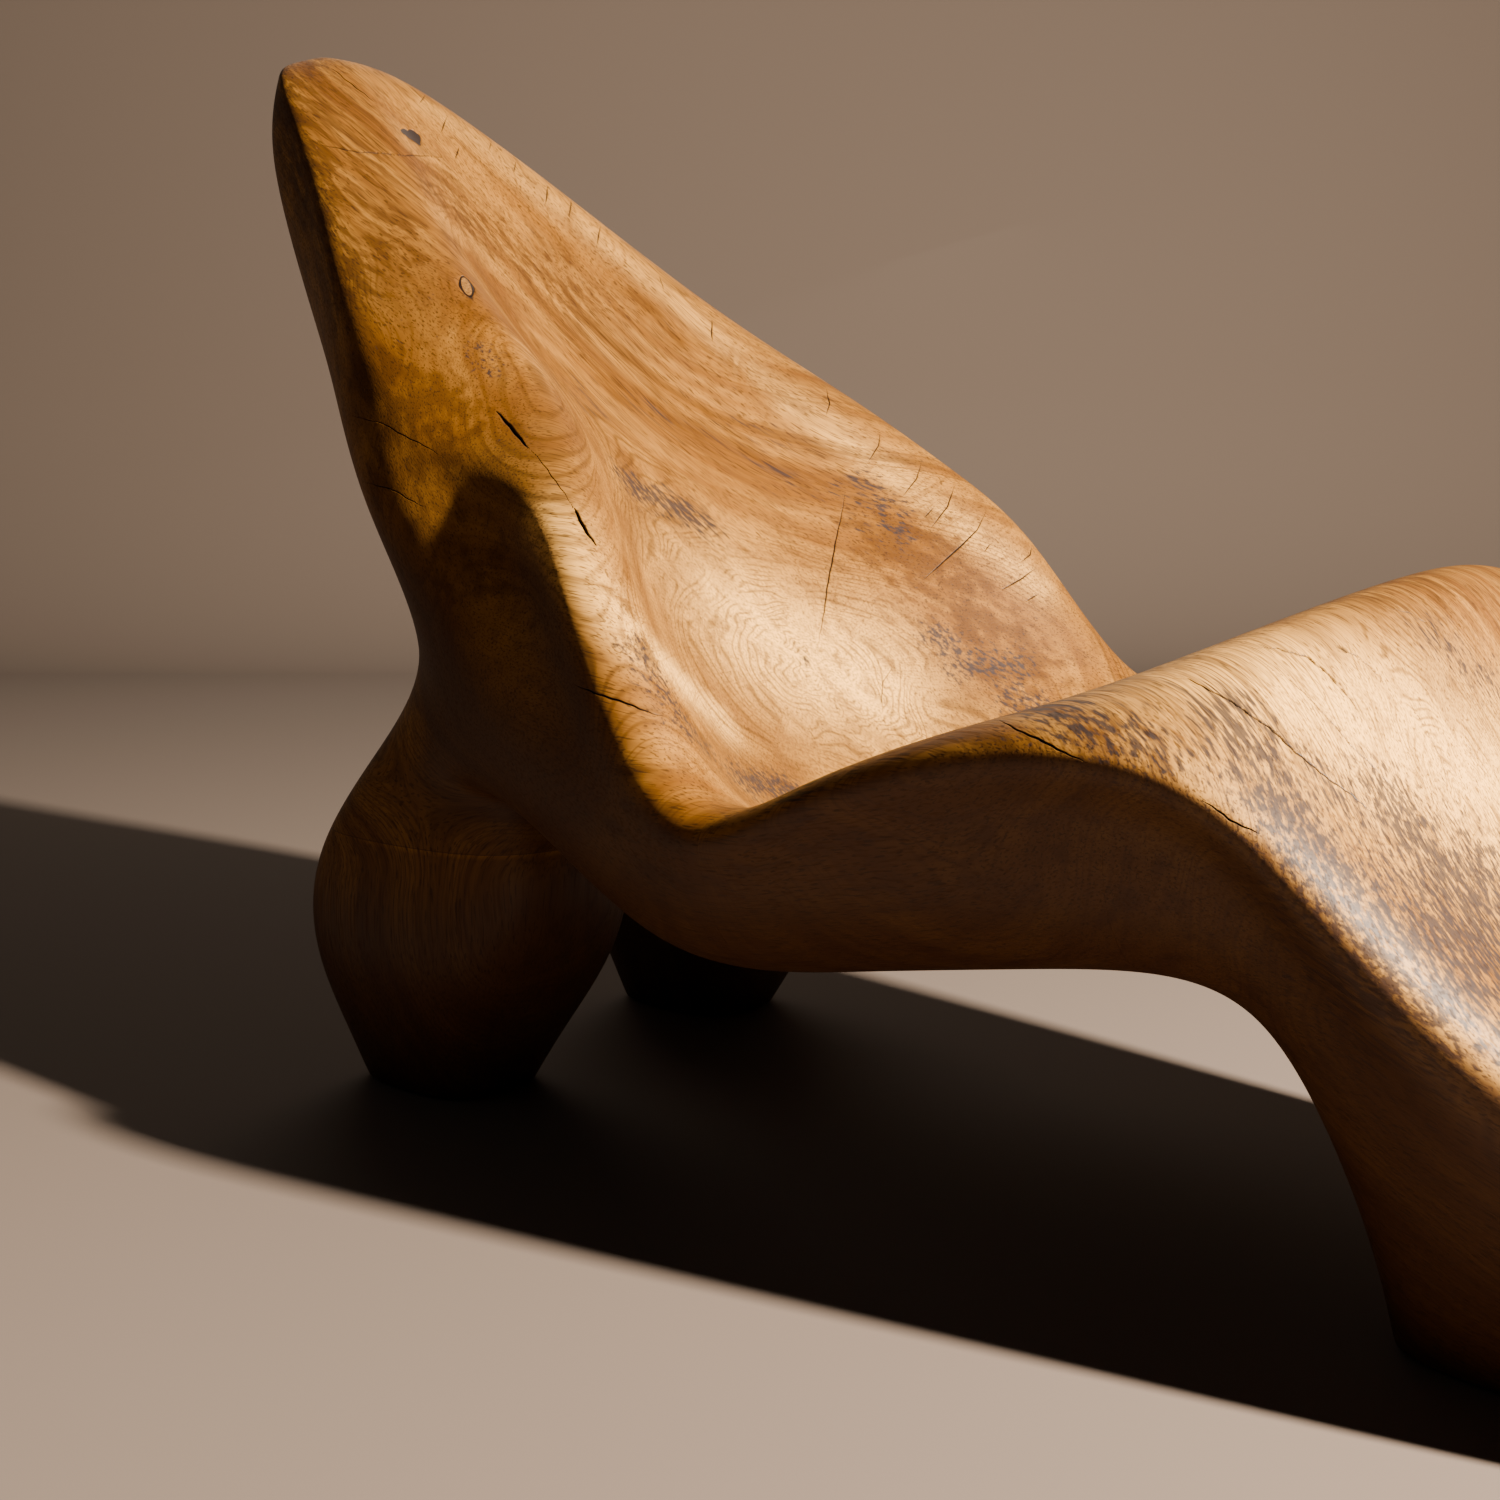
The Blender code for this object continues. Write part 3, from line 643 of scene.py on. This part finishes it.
def plug_radius(angle):
    """The radius of the plug's oval in one direction."""
    return 0.5 / math.hypot(math.cos(angle) / PLUG_SIZE[0], math.sin(angle) / PLUG_SIZE[1])


def knot_radius(angle):
    """The ragged radius of the open knot in one direction."""
    turns = np.linspace(0, 2 * math.pi, len(KNOT_OUTLINE) + 1)
    share = np.interp(angle % (2 * math.pi), turns, (*KNOT_OUTLINE, KNOT_OUTLINE[0]))
    return KNOT_SIZE / 2 * share * (1 + KNOT_RAGGED * math.sin(KNOT_NICKS * angle))


def joint_tool(node):
    """A merged copy of one of the frame's tenons or dowels, a hair larger than the piece."""
    tool = own_copy(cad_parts[node], "tool_" + node)
    for key in list(tool.keys()):
        del tool[key]
    edit(tool)
    bpy.ops.mesh.select_all(action="SELECT")
    bpy.ops.mesh.remove_doubles(threshold=0.00001)
    bpy.ops.mesh.normals_make_consistent(inside=False)
    bpy.ops.object.mode_set(mode="OBJECT")
    low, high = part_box(node)
    middle, size = (low + high) / 2, high - low
    growth = Matrix.Diagonal((*[1 + 2 * JOINT_ROOM / length for length in size], 1))
    tool.data.transform(Matrix.Translation(middle) @ growth @ Matrix.Translation(-middle))
    return tool


def carve(block, tools, operation="DIFFERENCE"):
    """Joins the tools into one and cuts the block with it."""
    bpy.ops.object.select_all(action="DESELECT")
    for tool in tools:
        tool.select_set(True)
    bpy.context.view_layer.objects.active = tools[0]
    if len(tools) > 1:
        bpy.ops.object.join()
    apply_modifier(block, "BOOLEAN", operation=operation, object=tools[0], solver="EXACT")
    bpy.data.objects.remove(tools[0])


def let_in(name, at, turn, radius_at, depth, extra=0.0):
    """A piece that fills a prism under the carved face and ends flush with it."""
    piece = own_copy(blocks["backrest"], name)
    carve(piece, [inlay_prism(name + "_core", at, turn, radius_at, extra, depth)], "INTERSECT")
    return piece


plug = (PLUG_AT, PLUG_TURN, plug_radius)
knot = (KNOT_AT, 0.0, knot_radius)
inlays = {
    "plug_inlay": let_in("plug_inlay", *plug, PLUG_DEPTH),
    "plug_glue_ring": let_in("plug_glue_ring", *plug, PLUG_DEPTH, RING_WALL),
    "knot_inlay": let_in("knot_inlay", *knot, KNOT_DEPTH),
}
carve(inlays["plug_glue_ring"], [inlay_prism("plug_room", *plug, JOINT_ROOM / 4, PLUG_DEPTH)])
pockets = [
    inlay_prism("plug_pocket", *plug, RING_WALL + JOINT_ROOM / 2, PLUG_DEPTH),
    inlay_prism("knot_pocket", *knot, JOINT_ROOM, KNOT_DEPTH),
]
back_tenons = [f"back_tenon_{n}" for n in (1, 2, 3)]
knee_tenons = [f"knee_tenon_{n}" for n in (1, 2, 3)]
dowels = {side: [f"leg_dowel_{side}_{n}" for n in (1, 2)] for side in ("right", "left")}
joined = {
    "backrest": back_tenons + dowels["right"] + dowels["left"],
    "seat": back_tenons + knee_tenons,
    "leg_rest": knee_tenons,
    "rear_leg_right": dowels["right"],
    "rear_leg_left": dowels["left"],
}
for name, nodes in joined.items():
    before = len(blocks[name].data.polygons)
    carve(blocks[name], [joint_tool(node) for node in nodes] + (pockets if name == "backrest" else []))
    print("mortises:", name, before, "->", len(blocks[name].data.polygons), "faces")

# %% [markdown]
# ## The figure of the wood
# The figure is not drawn on the surface: it is what a carved face shows of the growth layers inside. They
# lie like tubes round the pith, the first thread of wood in the trunk. Here the pith runs along the chaise,
# comes out of the wood in the dish and again on the leg rest, and those two places show closed rings. Under
# the dish the layers are flattened, as they are in a trunk that grew wide. Along the flanks the same layers
# are cut lengthwise and show as long bands. In the legs the fibres turn down. Each point of the blocks
# keeps how far it lies along the trunk, how far sideways and up from the pith and how many layers out, so
# the figure runs on through every glue line. More numbers say where the wood is stained grey, where it is
# rusty or smoky and where the pale sapwood shows. Some of these are painted light: a painted shade tint
# on the near flank and legs, painted shade at the tip and painted highlight on the lower dish and the leg
# rest. The low outer sides get painted shade, with some darker weathered wood.

# %% Growth layers and stains
#       along   sideways height  flatness of the layers round it
PITH = (
    (-0.900, -0.120, 0.850, 1.00),
    (-0.700, -0.120, 0.718, 1.00),
    (-0.420, -0.100, 0.525, 1.00),
    (-0.360, -0.080, 0.460, 0.90),
    (-0.300, -0.050, 0.405, 0.65),
    (-0.240, -0.010, 0.368, 0.42),
    (-0.166, 0.015, 0.368, 0.42),
    (-0.080, 0.020, 0.350, 0.42),
    (0.000, 0.040, 0.345, 0.60),
    (0.200, 0.030, 0.360, 1.00),
    (0.290, -0.030, 0.375, 1.00),
    (0.425, -0.116, 0.308, 1.00),
    (0.600, -0.130, 0.220, 1.00),
    (0.800, -0.130, 0.120, 1.00),
)
PITH_BEND = 0.05                       # half the length over which a bend of the pith is eased
LEG_PITH_X, LEG_PITH_Y = -0.540, 0.120     # the pith of each leg, behind it and towards the other one
LEG_TURN_Z, LEG_TURN_X = (0.34, 0.20), (-0.20, -0.28)  # where the fibres begin and end to turn down
# Pixel of each eye, how far it swells the layers and how wide it is, in millimetres
EYES = (
    ((925, 700), 16, 40), ((480, 345), 5, 26), ((415, 150), 8, 20), ((1330, 760), 5, 30),
    ((500, 640), 9, 34), ((620, 820), 7, 40), ((380, 300), 7, 32), ((1180, 860), 7, 50),
)
# What stains the wood, along which pixels, how wide in millimetres, and how much. Some patches are painted
# light: rust on the near flank and legs is a painted shade tint, pale on the lower dish and the leg rest top
# is painted highlight, and smoke at the tip and upper back is painted shade.
STAINS_AND_PAINTED_LIGHT = (
    ("grey", ((1225, 705), (1262, 770), (1300, 830), (1335, 880), (1370, 930), (1430, 1000)), 32, 1.00),
    ("grey", ((1400, 815), (1430, 860), (1490, 960)), 48, 1.00),
    ("grey", ((1420, 960), (1495, 900)), 75, 1.00),
    ("grey", ((1440, 640), (1490, 680)), 40, 0.60),
    ("grey", ((1330, 790), (1400, 840)), 40, 0.70),
    ("grey", ((630, 485), (700, 520)), 30, 0.90),
    ("grey", ((940, 640), (960, 665), (1015, 666)), 24, 0.80),
    ("grey", ((860, 480), (900, 530)), 24, 0.70),
    ("grey", ((560, 385), (760, 440), (880, 520)), 34, 0.40),
    ("grey", ((640, 650), (690, 730), (740, 785)), 20, 0.70),
    ("grey", ((740, 780), (800, 790)), 22, 0.90),
    ("grey", ((1015, 700), (1165, 748)), 26, 0.80),
    ("grey", ((590, 405), (600, 415)), 16, 0.50),
    ("grey", ((804, 660), (806, 664)), 7, 1.00),
    ("grey", ((480, 345), (490, 375)), 14, 0.60),
    ("rust_and_shade_tint", ((890, 535), (940, 580), (985, 620), (1020, 660)), 42, 1.00),
    ("rust_and_shade_tint", ((370, 370), (440, 430)), 50, 1.00),
    ("rust_and_shade_tint", ((400, 480), (470, 560)), 60, 0.60),
    # These three are painted shade: a reddish shade tint on the near flank and the legs.
    ("rust_and_shade_tint", ((640, 840), (900, 900)), 80, 0.60),
    ("rust_and_shade_tint", ((560, 900), (600, 1080)), 80, 0.60),
    ("rust_and_shade_tint", ((1100, 880), (1250, 1000)), 90, 0.50),
    ("rust_and_shade_tint", ((500, 190), (640, 300), (760, 400)), 12, 0.50),
    ("rust_and_shade_tint", ((560, 370), (700, 420), (860, 500)), 40, 0.40),
    ("rust_and_shade_tint", ((470, 310), (500, 340)), 20, 0.70),
    ("rust_and_shade_tint", ((600, 560), (650, 660), (720, 760)), 20, 0.60),
    ("pale_and_highlight", ((430, 108), (490, 150), (545, 198), (600, 243), (660, 290), (715, 340), (790, 402)), 16, 0.28),
    ("pale_and_highlight", ((790, 402), (850, 444), (930, 505), (1000, 555), (1040, 588)), 18, 0.50),
    ("pale_and_highlight", ((1210, 770), (1330, 900), (1480, 1060)), 24, 0.50),
    ("pale_and_highlight", ((540, 520), (640, 640), (720, 720)), 22, 1.00),
    # These two are painted highlight: the lit lower dish and the top of the leg rest.
    ("pale_and_highlight", ((740, 620), (800, 660), (860, 680)), 80, 1.00),
    ("pale_and_highlight", ((1290, 690), (1400, 740), (1490, 780)), 95, 1.00),
    # These two are painted shade: the tip and the upper back darker than the dish.
    ("smoke_and_shade", ((290, 70), (330, 180), (370, 260)), 80, 0.90),
    ("smoke_and_shade", ((430, 190), (540, 270), (620, 350)), 60, 0.75),
    ("smoke_and_shade", ((920, 560), (965, 610), (1010, 665)), 58, 1.00),
    ("smoke_and_shade", ((560, 380), (760, 445), (900, 540)), 38, 0.55),
    ("smoke_and_shade", ((1010, 700), (1170, 750)), 30, 0.70),
    ("smoke_and_shade", ((1380, 600), (1480, 590)), 40, 0.70),
)
STAIN_AND_PAINTED_LIGHT_KINDS = ("grey", "rust_and_shade_tint", "pale_and_highlight", "smoke_and_shade")
STAIN_STEP = 6                         # of the close points along a stain, one in so many is enough
SHADE_AND_WEATHER_Z = (0.56, 0.42)               # heights between which the outer sides get painted shade, with some darker weathered wood
SHADE_AND_WEATHER_FACING = (0.45, -0.10)         # how much a face looks up where its painted shade starts and where it is full
eyes = [(np.array(on_wood(*pixel)), swell / 1000, reach / 1000) for pixel, swell, reach in EYES]
stain_and_light_lines = []
for kind, line, reach, much in STAINS_AND_PAINTED_LIGHT:
    stain_and_light_lines.append((kind, [point for point, _ in trace(line)][::STAIN_STEP], reach / 1000, much))


def eased(values, start, end):
    """From 0 at the start to 1 at the end, smoothly."""
    share = np.clip((values - start) / (end - start), 0, 1)
    return share * share * (3 - 2 * share)


def in_trunk(rows):
    """Along the trunk, sideways and up from its pith, and how many metres of layers lie between."""
    along, *columns = np.array(PITH).T
    around = [rows[:, 0] + step for step in np.linspace(-PITH_BEND, PITH_BEND, 9)]
    eased_columns = [np.mean([np.interp(x, along, column) for x in around], axis=0) for column in columns]
    pith_y, pith_z, flat = eased_columns
    lengthwise = np.stack([rows[:, 0], rows[:, 1] - pith_y, rows[:, 2] - pith_z], axis=1)
    leg_y = rows[:, 1] - np.sign(rows[:, 1] - LEG_SWAY) * LEG_PITH_Y
    upright = np.stack([rows[:, 2], leg_y, LEG_PITH_X - rows[:, 0]], axis=1)
    turned = eased(rows[:, 2], *LEG_TURN_Z) * eased(rows[:, 0], *LEG_TURN_X)
    layers = np.hypot(flat * lengthwise[:, 1], lengthwise[:, 2])
    leg_layers = np.hypot(upright[:, 1], upright[:, 2])
    return lengthwise + turned[:, None] * (upright - lengthwise), layers + turned * (leg_layers - layers)


def swollen(rows):
    """How far the eyes push the layers outwards at each point."""
    return sum(swell * np.exp(-(np.linalg.norm(rows - at, axis=1) / reach) ** 2) for at, swell, reach in eyes)


def shaded_and_weathered(rows, normals):
    """How much painted shade, with some darker weathered wood, the low outer sides and legs get, and not the
    top.
    """
    return eased(normals[:, 2], *SHADE_AND_WEATHER_FACING) * eased(rows[:, 2], *SHADE_AND_WEATHER_Z)


def stained_and_painted(rows):
    """How grey, rusty, pale and smoky the wood is at each point, painted shade and highlight included."""
    amounts = np.zeros((len(rows), len(STAIN_AND_PAINTED_LIGHT_KINDS)))
    for kind, line, reach, much in stain_and_light_lines:
        apart = nearest(rows, line)[1]
        column = STAIN_AND_PAINTED_LIGHT_KINDS.index(kind)
        amounts[:, column] = np.maximum(amounts[:, column], much * np.exp(-(apart / reach) ** 2))
    return amounts


def store(obj, name, rows):
    """Keeps one or three numbers for each point of a mesh, for its material to read."""
    kind, field = ("FLOAT", "value") if rows.ndim == 1 else ("FLOAT_VECTOR", "vector")
    attribute = obj.data.attributes.new(name, kind, "POINT")
    attribute.data.foreach_set(field, rows.astype(np.float32).ravel())


for piece in blocks.values():
    rows = points_of(piece)
    trunk_rows, layers = in_trunk(rows)
    store(piece, "trunk", trunk_rows)
    store(piece, "layers", layers + swollen(rows))
    amounts = stained_and_painted(rows)
    store(piece, "stains_and_painted_light", amounts[:, :3])
    store(piece, "smoke_and_shade", amounts[:, 3])
    store(piece, "shade_and_weather", shaded_and_weathered(rows, points_of(piece, "normal")))
print("figure:", len(eyes), "eyes and", len(STAINS_AND_PAINTED_LIGHT), "stains on", len(blocks), "blocks")

# %% [markdown]
# ### Oiled hardwood
# The finish is built up the way the wood is: broad light and dark layers, thin rings, rays that cross them,
# long streaks and fine fibres, then the stains with their painted shade and highlight, the painted shade of
# the low outer sides, the pores and the painted shade of the checks. A stain doesn't lie on the wood as a
# wash: it lets more of a streaky pattern through. Every noise is stretched to real sizes. Layers and rings
# read how far a place is from the pith, rays read the direction to the pith, and fibres are long along the
# trunk and thin across it. A satin oil leaves the surface a little smoother where the wood is dense.

# %% Oiled hardwood
RING_WIDTH = 0.0046
YEAR_SHIFT = 0.012                     # how far fat and lean years push the rings
STAIN_LIFT = 0.30                      # how far a full stain lifts its pattern
wood, tree, shader = new_finish("oiled_golden_hardwood")
place = add_node(tree, "TexCoord").outputs["Object"]
trunk = add_node(tree, "Attribute", {"attribute_name": "trunk"}).outputs["Vector"]
layer = add_node(tree, "Attribute", {"attribute_name": "layers"}).outputs["Fac"]
stains_and_painted_light = add_node(tree, "Attribute", {"attribute_name": "stains_and_painted_light"}).outputs["Vector"]
check_shade_here = add_node(tree, "Attribute", {"attribute_name": "check_shade"}).outputs["Fac"]
shade_and_weather = add_node(tree, "Attribute", {"attribute_name": "shade_and_weather"}).outputs["Fac"]
smoke_and_shade = add_node(tree, "Attribute", {"attribute_name": "smoke_and_shade"}).outputs["Fac"]
grey, rust_and_shade_tint, pale_and_highlight = add_node(tree, "SeparateXYZ", Vector=stains_and_painted_light).outputs

# The layers wander: a slow drift over a hand's breadth and a tremble over a finger's
for size_mm, sway_mm in ((90, 10), (22, 1.0)):
    sway = add_node(tree, "TexNoise", {"Scale": 1000 / size_mm, "Detail": 1.0}, Vector=place)
    centre = {"operation": "SUBTRACT", 1: (0.5, 0.5, 0.5)}
    centred = add_node(tree, "VectorMath", centre, _0=sway.outputs["Color"])
    drift = {"operation": "MULTIPLY_ADD", 1: (0, sway_mm / 1000, sway_mm / 1000)}
    trunk = add_node(tree, "VectorMath", drift, _0=centred.outputs[0], _2=trunk).outputs[0]
    swell = {"operation": "MULTIPLY_ADD", 1: sway_mm / 1000}
    layer = add_node(tree, "Math", swell, _0=sway.outputs["Fac"], _2=layer).outputs[0]
from_pith = add_node(tree, "VectorMath", {"operation": "MULTIPLY", 1: (0, 1, 1)}, _0=trunk).outputs[0]
ray = add_node(tree, "VectorMath", {"operation": "NORMALIZE"}, _0=from_pith).outputs[0]
ray_y, ray_z = add_node(tree, "SeparateXYZ", Vector=ray).outputs[1:]
rings_round = add_node(tree, "CombineXYZ", X=layer, Y=ray_y, Z=ray_z).outputs[0]


def pattern(where, sizes, low, high, stain=None, **settings):
    """Noise with a size for each of three directions, eased from 0 at its low value to 1 at its high one.

    A stain lifts the noise, so more of the pattern shows where the stain is strong, at full contrast.
    """
    shrink = {"operation": "MULTIPLY", 1: [1 / size for size in sizes]}
    scaled = add_node(tree, "VectorMath", shrink, _0=where)
    noise = add_node(tree, "TexNoise", {"Scale": 1.0, **settings}, Vector=scaled.outputs[0]).outputs["Fac"]
    if stain:
        lift = {"operation": "MULTIPLY_ADD", 1: STAIN_LIFT}
        noise = add_node(tree, "Math", lift, _0=stain, _2=noise).outputs[0]
    limits = {"interpolation_type": "SMOOTHSTEP", "From Min": low, "From Max": high}
    return add_node(tree, "MapRange", limits, Value=noise).outputs[0]


def both(one, other):
    """The product of two amounts."""
    return add_node(tree, "Math", {"operation": "MULTIPLY"}, _0=one, _1=other).outputs[0]


def over(colour, layer_hex, amount, share=1.0):
    """Another colour laid over the colour so far, as much as an amount says, up to a share."""
    if share < 1.0:
        amount = add_node(tree, "Math", {"operation": "MULTIPLY", 1: share}, _0=amount).outputs[0]
    mixed = add_node(tree, "Mix", {"data_type": "RGBA", 7: linear(layer_hex)}, _0=amount, _6=colour)
    return mixed.outputs[2]


bands = pattern(rings_round, (0.016, 0.45, 0.45), 0.30, 0.70, Detail=3.0)
strong = pattern(rings_round, (0.030, 0.40, 0.40), 0.36, 0.58, Detail=4.0)
rays = pattern(rings_round, (0.050, 0.006, 0.006), 0.52, 0.70, Detail=1.0)
streaks = pattern(trunk, (0.200, 0.012, 0.012), 0.46, 0.70, Detail=4.0)
fibres = pattern(trunk, (0.120, 0.0018, 0.0018), 0.46, 0.70, Detail=1.0)
pores = pattern(trunk, (0.020, 0.0013, 0.0013), 0.62, 0.71, Detail=0.0)
mottle = pattern(trunk, (0.070, 0.008, 0.008), 0.66, 0.84, smoke_and_shade, Detail=5.0)
dashes = pattern(trunk, (0.080, 0.0034, 0.0034), 0.64, 0.82, grey, Detail=5.0)
patches = pattern(trunk, (0.060, 0.016, 0.016), 0.60, 0.84, rust_and_shade_tint, Detail=6.0)
clouds = pattern(place, (0.040, 0.040, 0.040), 0.26, 0.54, Detail=6.0)
patina = pattern(place, (0.150, 0.150, 0.150), 0.40, 0.66, Detail=5.0)
# One growth ring is a full turn of a sine, and the end of its year is a thin dark line. Fat and lean
# years stretch and squeeze the turns.
years = pattern(rings_round, (0.017, 0.60, 0.60), 0.20, 0.80, Detail=1.0)
uneven = add_node(tree, "Math", {"operation": "MULTIPLY_ADD", 1: YEAR_SHIFT}, _0=years, _2=layer).outputs[0]
turn = add_node(tree, "Math", {"operation": "MULTIPLY", 1: 2 * math.pi / RING_WIDTH}, _0=uneven).outputs[0]
wave = add_node(tree, "Math", {"operation": "SINE"}, _0=turn).outputs[0]
year_end = add_node(tree, "MapRange", {"From Min": 0.2, "From Max": 1.0}, Value=wave).outputs[0]
dark_and_light = {"data_type": "RGBA", 6: linear("#6A4112"), 7: linear("#A0702C")}
base = add_node(tree, "Mix", dark_and_light, _0=bands).outputs[2]
# Pale sapwood, and painted highlight on the lower dish and the leg rest top.
base = over(base, "#FFC364", pale_and_highlight, 0.90)
base = over(base, "#67451C", both(patina, clouds), 0.40)
base = over(base, "#583818", streaks, 0.42)
# Smoky patches, and painted shade at the tip and upper back.
base = over(base, "#472A0E", mottle, 0.75)
base = over(base, "#452A08", both(year_end, strong), 0.55)
base = over(base, "#6C4412", rays, 0.32)
base = over(base, "#4A2A0A", fibres, 0.42)
# Rust, and a painted shade tint on the near flank and legs.
base = over(base, "#7E4E08", rust_and_shade_tint, 0.50)
base = over(base, "#4A2A05", patches, 0.70)
base = over(base, "#252428", dashes, 0.85)
# Painted shade on the low outer sides and legs, with some darker weathered wood.
base = over(base, "#372013", shade_and_weather, 0.84)
base = over(base, "#2B190A", pores, 0.60)
# Painted shade inside the checks and a little past their lips.
base = over(base, "#100804", check_shade_here)
tree.links.new(base, shader.inputs["Base Color"])
gloss = add_node(tree, "MapRange", {"To Min": 0.48, "To Max": 0.62}, Value=fibres)
dull = add_node(tree, "Math", {"operation": "MAXIMUM"}, _0=gloss.outputs[0], _1=check_shade_here)
tree.links.new(dull.outputs[0], shader.inputs["Roughness"])
shader.inputs["Specular IOR Level"].default_value = 0.22
relief = add_node(tree, "Bump", {"Strength": 0.12, "Distance": 0.0004, "invert": True}, Height=fibres)
tree.links.new(relief.outputs[0], shader.inputs["Normal"])
print("finish:", wood.name, "with", len(tree.nodes), "nodes")

# %% [markdown]
# ### Joinery, plug, filling and felt
# The hidden tenons and dowels are planed and left bare. The plug shows end grain, so its pattern is dots
# and short rings instead of lines. The filling is dark resin, sanded flush, in two dark tones. The felt
# pads are matted wool: two sizes of noise and a soft edge.

# %% Other finishes
def speckled(name, size_mm, hex_one, hex_two, roughness, relief_mm, stretch=(1, 1, 1)):
    """A finish of two colours in noise of one size, with a relief of the same pattern."""
    material, nodes, principled = new_finish(name)
    where = add_node(nodes, "TexCoord").outputs["Object"]
    scale = [1000 / size_mm / part for part in stretch]
    scaled = add_node(nodes, "VectorMath", {"operation": "MULTIPLY", 1: scale}, _0=where)
    noise = add_node(nodes, "TexNoise", {"Scale": 1.0, "Detail": 4.0}, Vector=scaled.outputs[0])
    share = add_node(nodes, "MapRange", {"From Min": 0.35, "From Max": 0.65}, Value=noise.outputs["Fac"])
    pair = {"data_type": "RGBA", 6: linear(hex_one), 7: linear(hex_two)}
    mixed = add_node(nodes, "Mix", pair, _0=share.outputs[0])
    nodes.links.new(mixed.outputs[2], principled.inputs["Base Color"])
    relief = {"Strength": 0.5, "Distance": relief_mm / 1000}
    bump = add_node(nodes, "Bump", relief, Height=noise.outputs["Fac"])
    nodes.links.new(bump.outputs[0], principled.inputs["Normal"])
    principled.inputs["Roughness"].default_value = roughness
    return material


planed = speckled("planed_hardwood", 2.0, "#B58A5C", "#C9A377", 0.6, 0.05, (20, 1, 1))
end_grain = speckled("oiled_end_grain", 1.6, "#5A3A16", "#8C6430", 0.45, 0.05)
resin = speckled("dark_sanded_resin", 1.2, "#0E0906", "#2A1B12", 0.35, 0.04)
wool = speckled("brown_wool_felt", 0.7, "#4A3F35", "#5E5145", 0.95, 0.3)
for node in back_tenons + knee_tenons + dowels["right"] + dowels["left"]:
    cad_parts[node].data.materials.clear()
    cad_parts[node].data.materials.append(planed)
print("finishes:", ", ".join(material.name for material in (planed, end_grain, resin, wool)))

# %% [markdown]
# ## Felt pads and the finished pieces
# A felt pad is a thin disc with a rounded edge. Each one takes its place from the frame.
# Every piece then rides on the frame's one body, stands in for its node and takes its finish.

# %% Felt pads
PAD_NODES = [f"pad_{row}_{side}" for row in ("rear", "heel", "toe") for side in ("right", "left")]
pads = {}
for node in PAD_NODES:
    low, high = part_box(node)
    size = high - low
    bpy.ops.mesh.primitive_cylinder_add(vertices=64, radius=size.x / 2, depth=size.z)
    pads[node] = bpy.context.object
    pads[node].name = node + "_felt"
    pads[node].data.transform(Matrix.Translation((low + high) / 2))
    apply_modifier(pads[node], "BEVEL", width=0.0008, segments=3, limit_method="ANGLE")
print("pads:", len(pads), "discs of", round(size.x * 1000), "mm")

# %% Put the pieces on the frame
SMOOTH_ANGLE = math.radians(40)
pieces = [(block, node, wood, "oiled_hardwood") for node, block in blocks.items()]
pieces += [(pad, node, wool, "felt") for node, pad in pads.items()]
pieces += [
    (inlays["plug_inlay"], "knot_plug", end_grain, "plug_wood"),
    (inlays["plug_glue_ring"], "knot_plug", resin, "dark_resin"),
    (inlays["knot_inlay"], "knot_filling", resin, "dark_resin"),
]
for piece, node, finish, slot_name in pieces:
    bpy.ops.object.select_all(action="DESELECT")
    piece.select_set(True)
    bpy.context.view_layer.objects.active = piece
    bpy.ops.object.shade_smooth_by_angle(angle=SMOOTH_ANGLE)
    piece.data.materials.clear()
    piece.data.materials.append(finish)
    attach(piece, "root")
    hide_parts(node)
    piece.data.calc_loop_triangles()
    print("piece:", piece.name, len(piece.data.loop_triangles), "triangles")
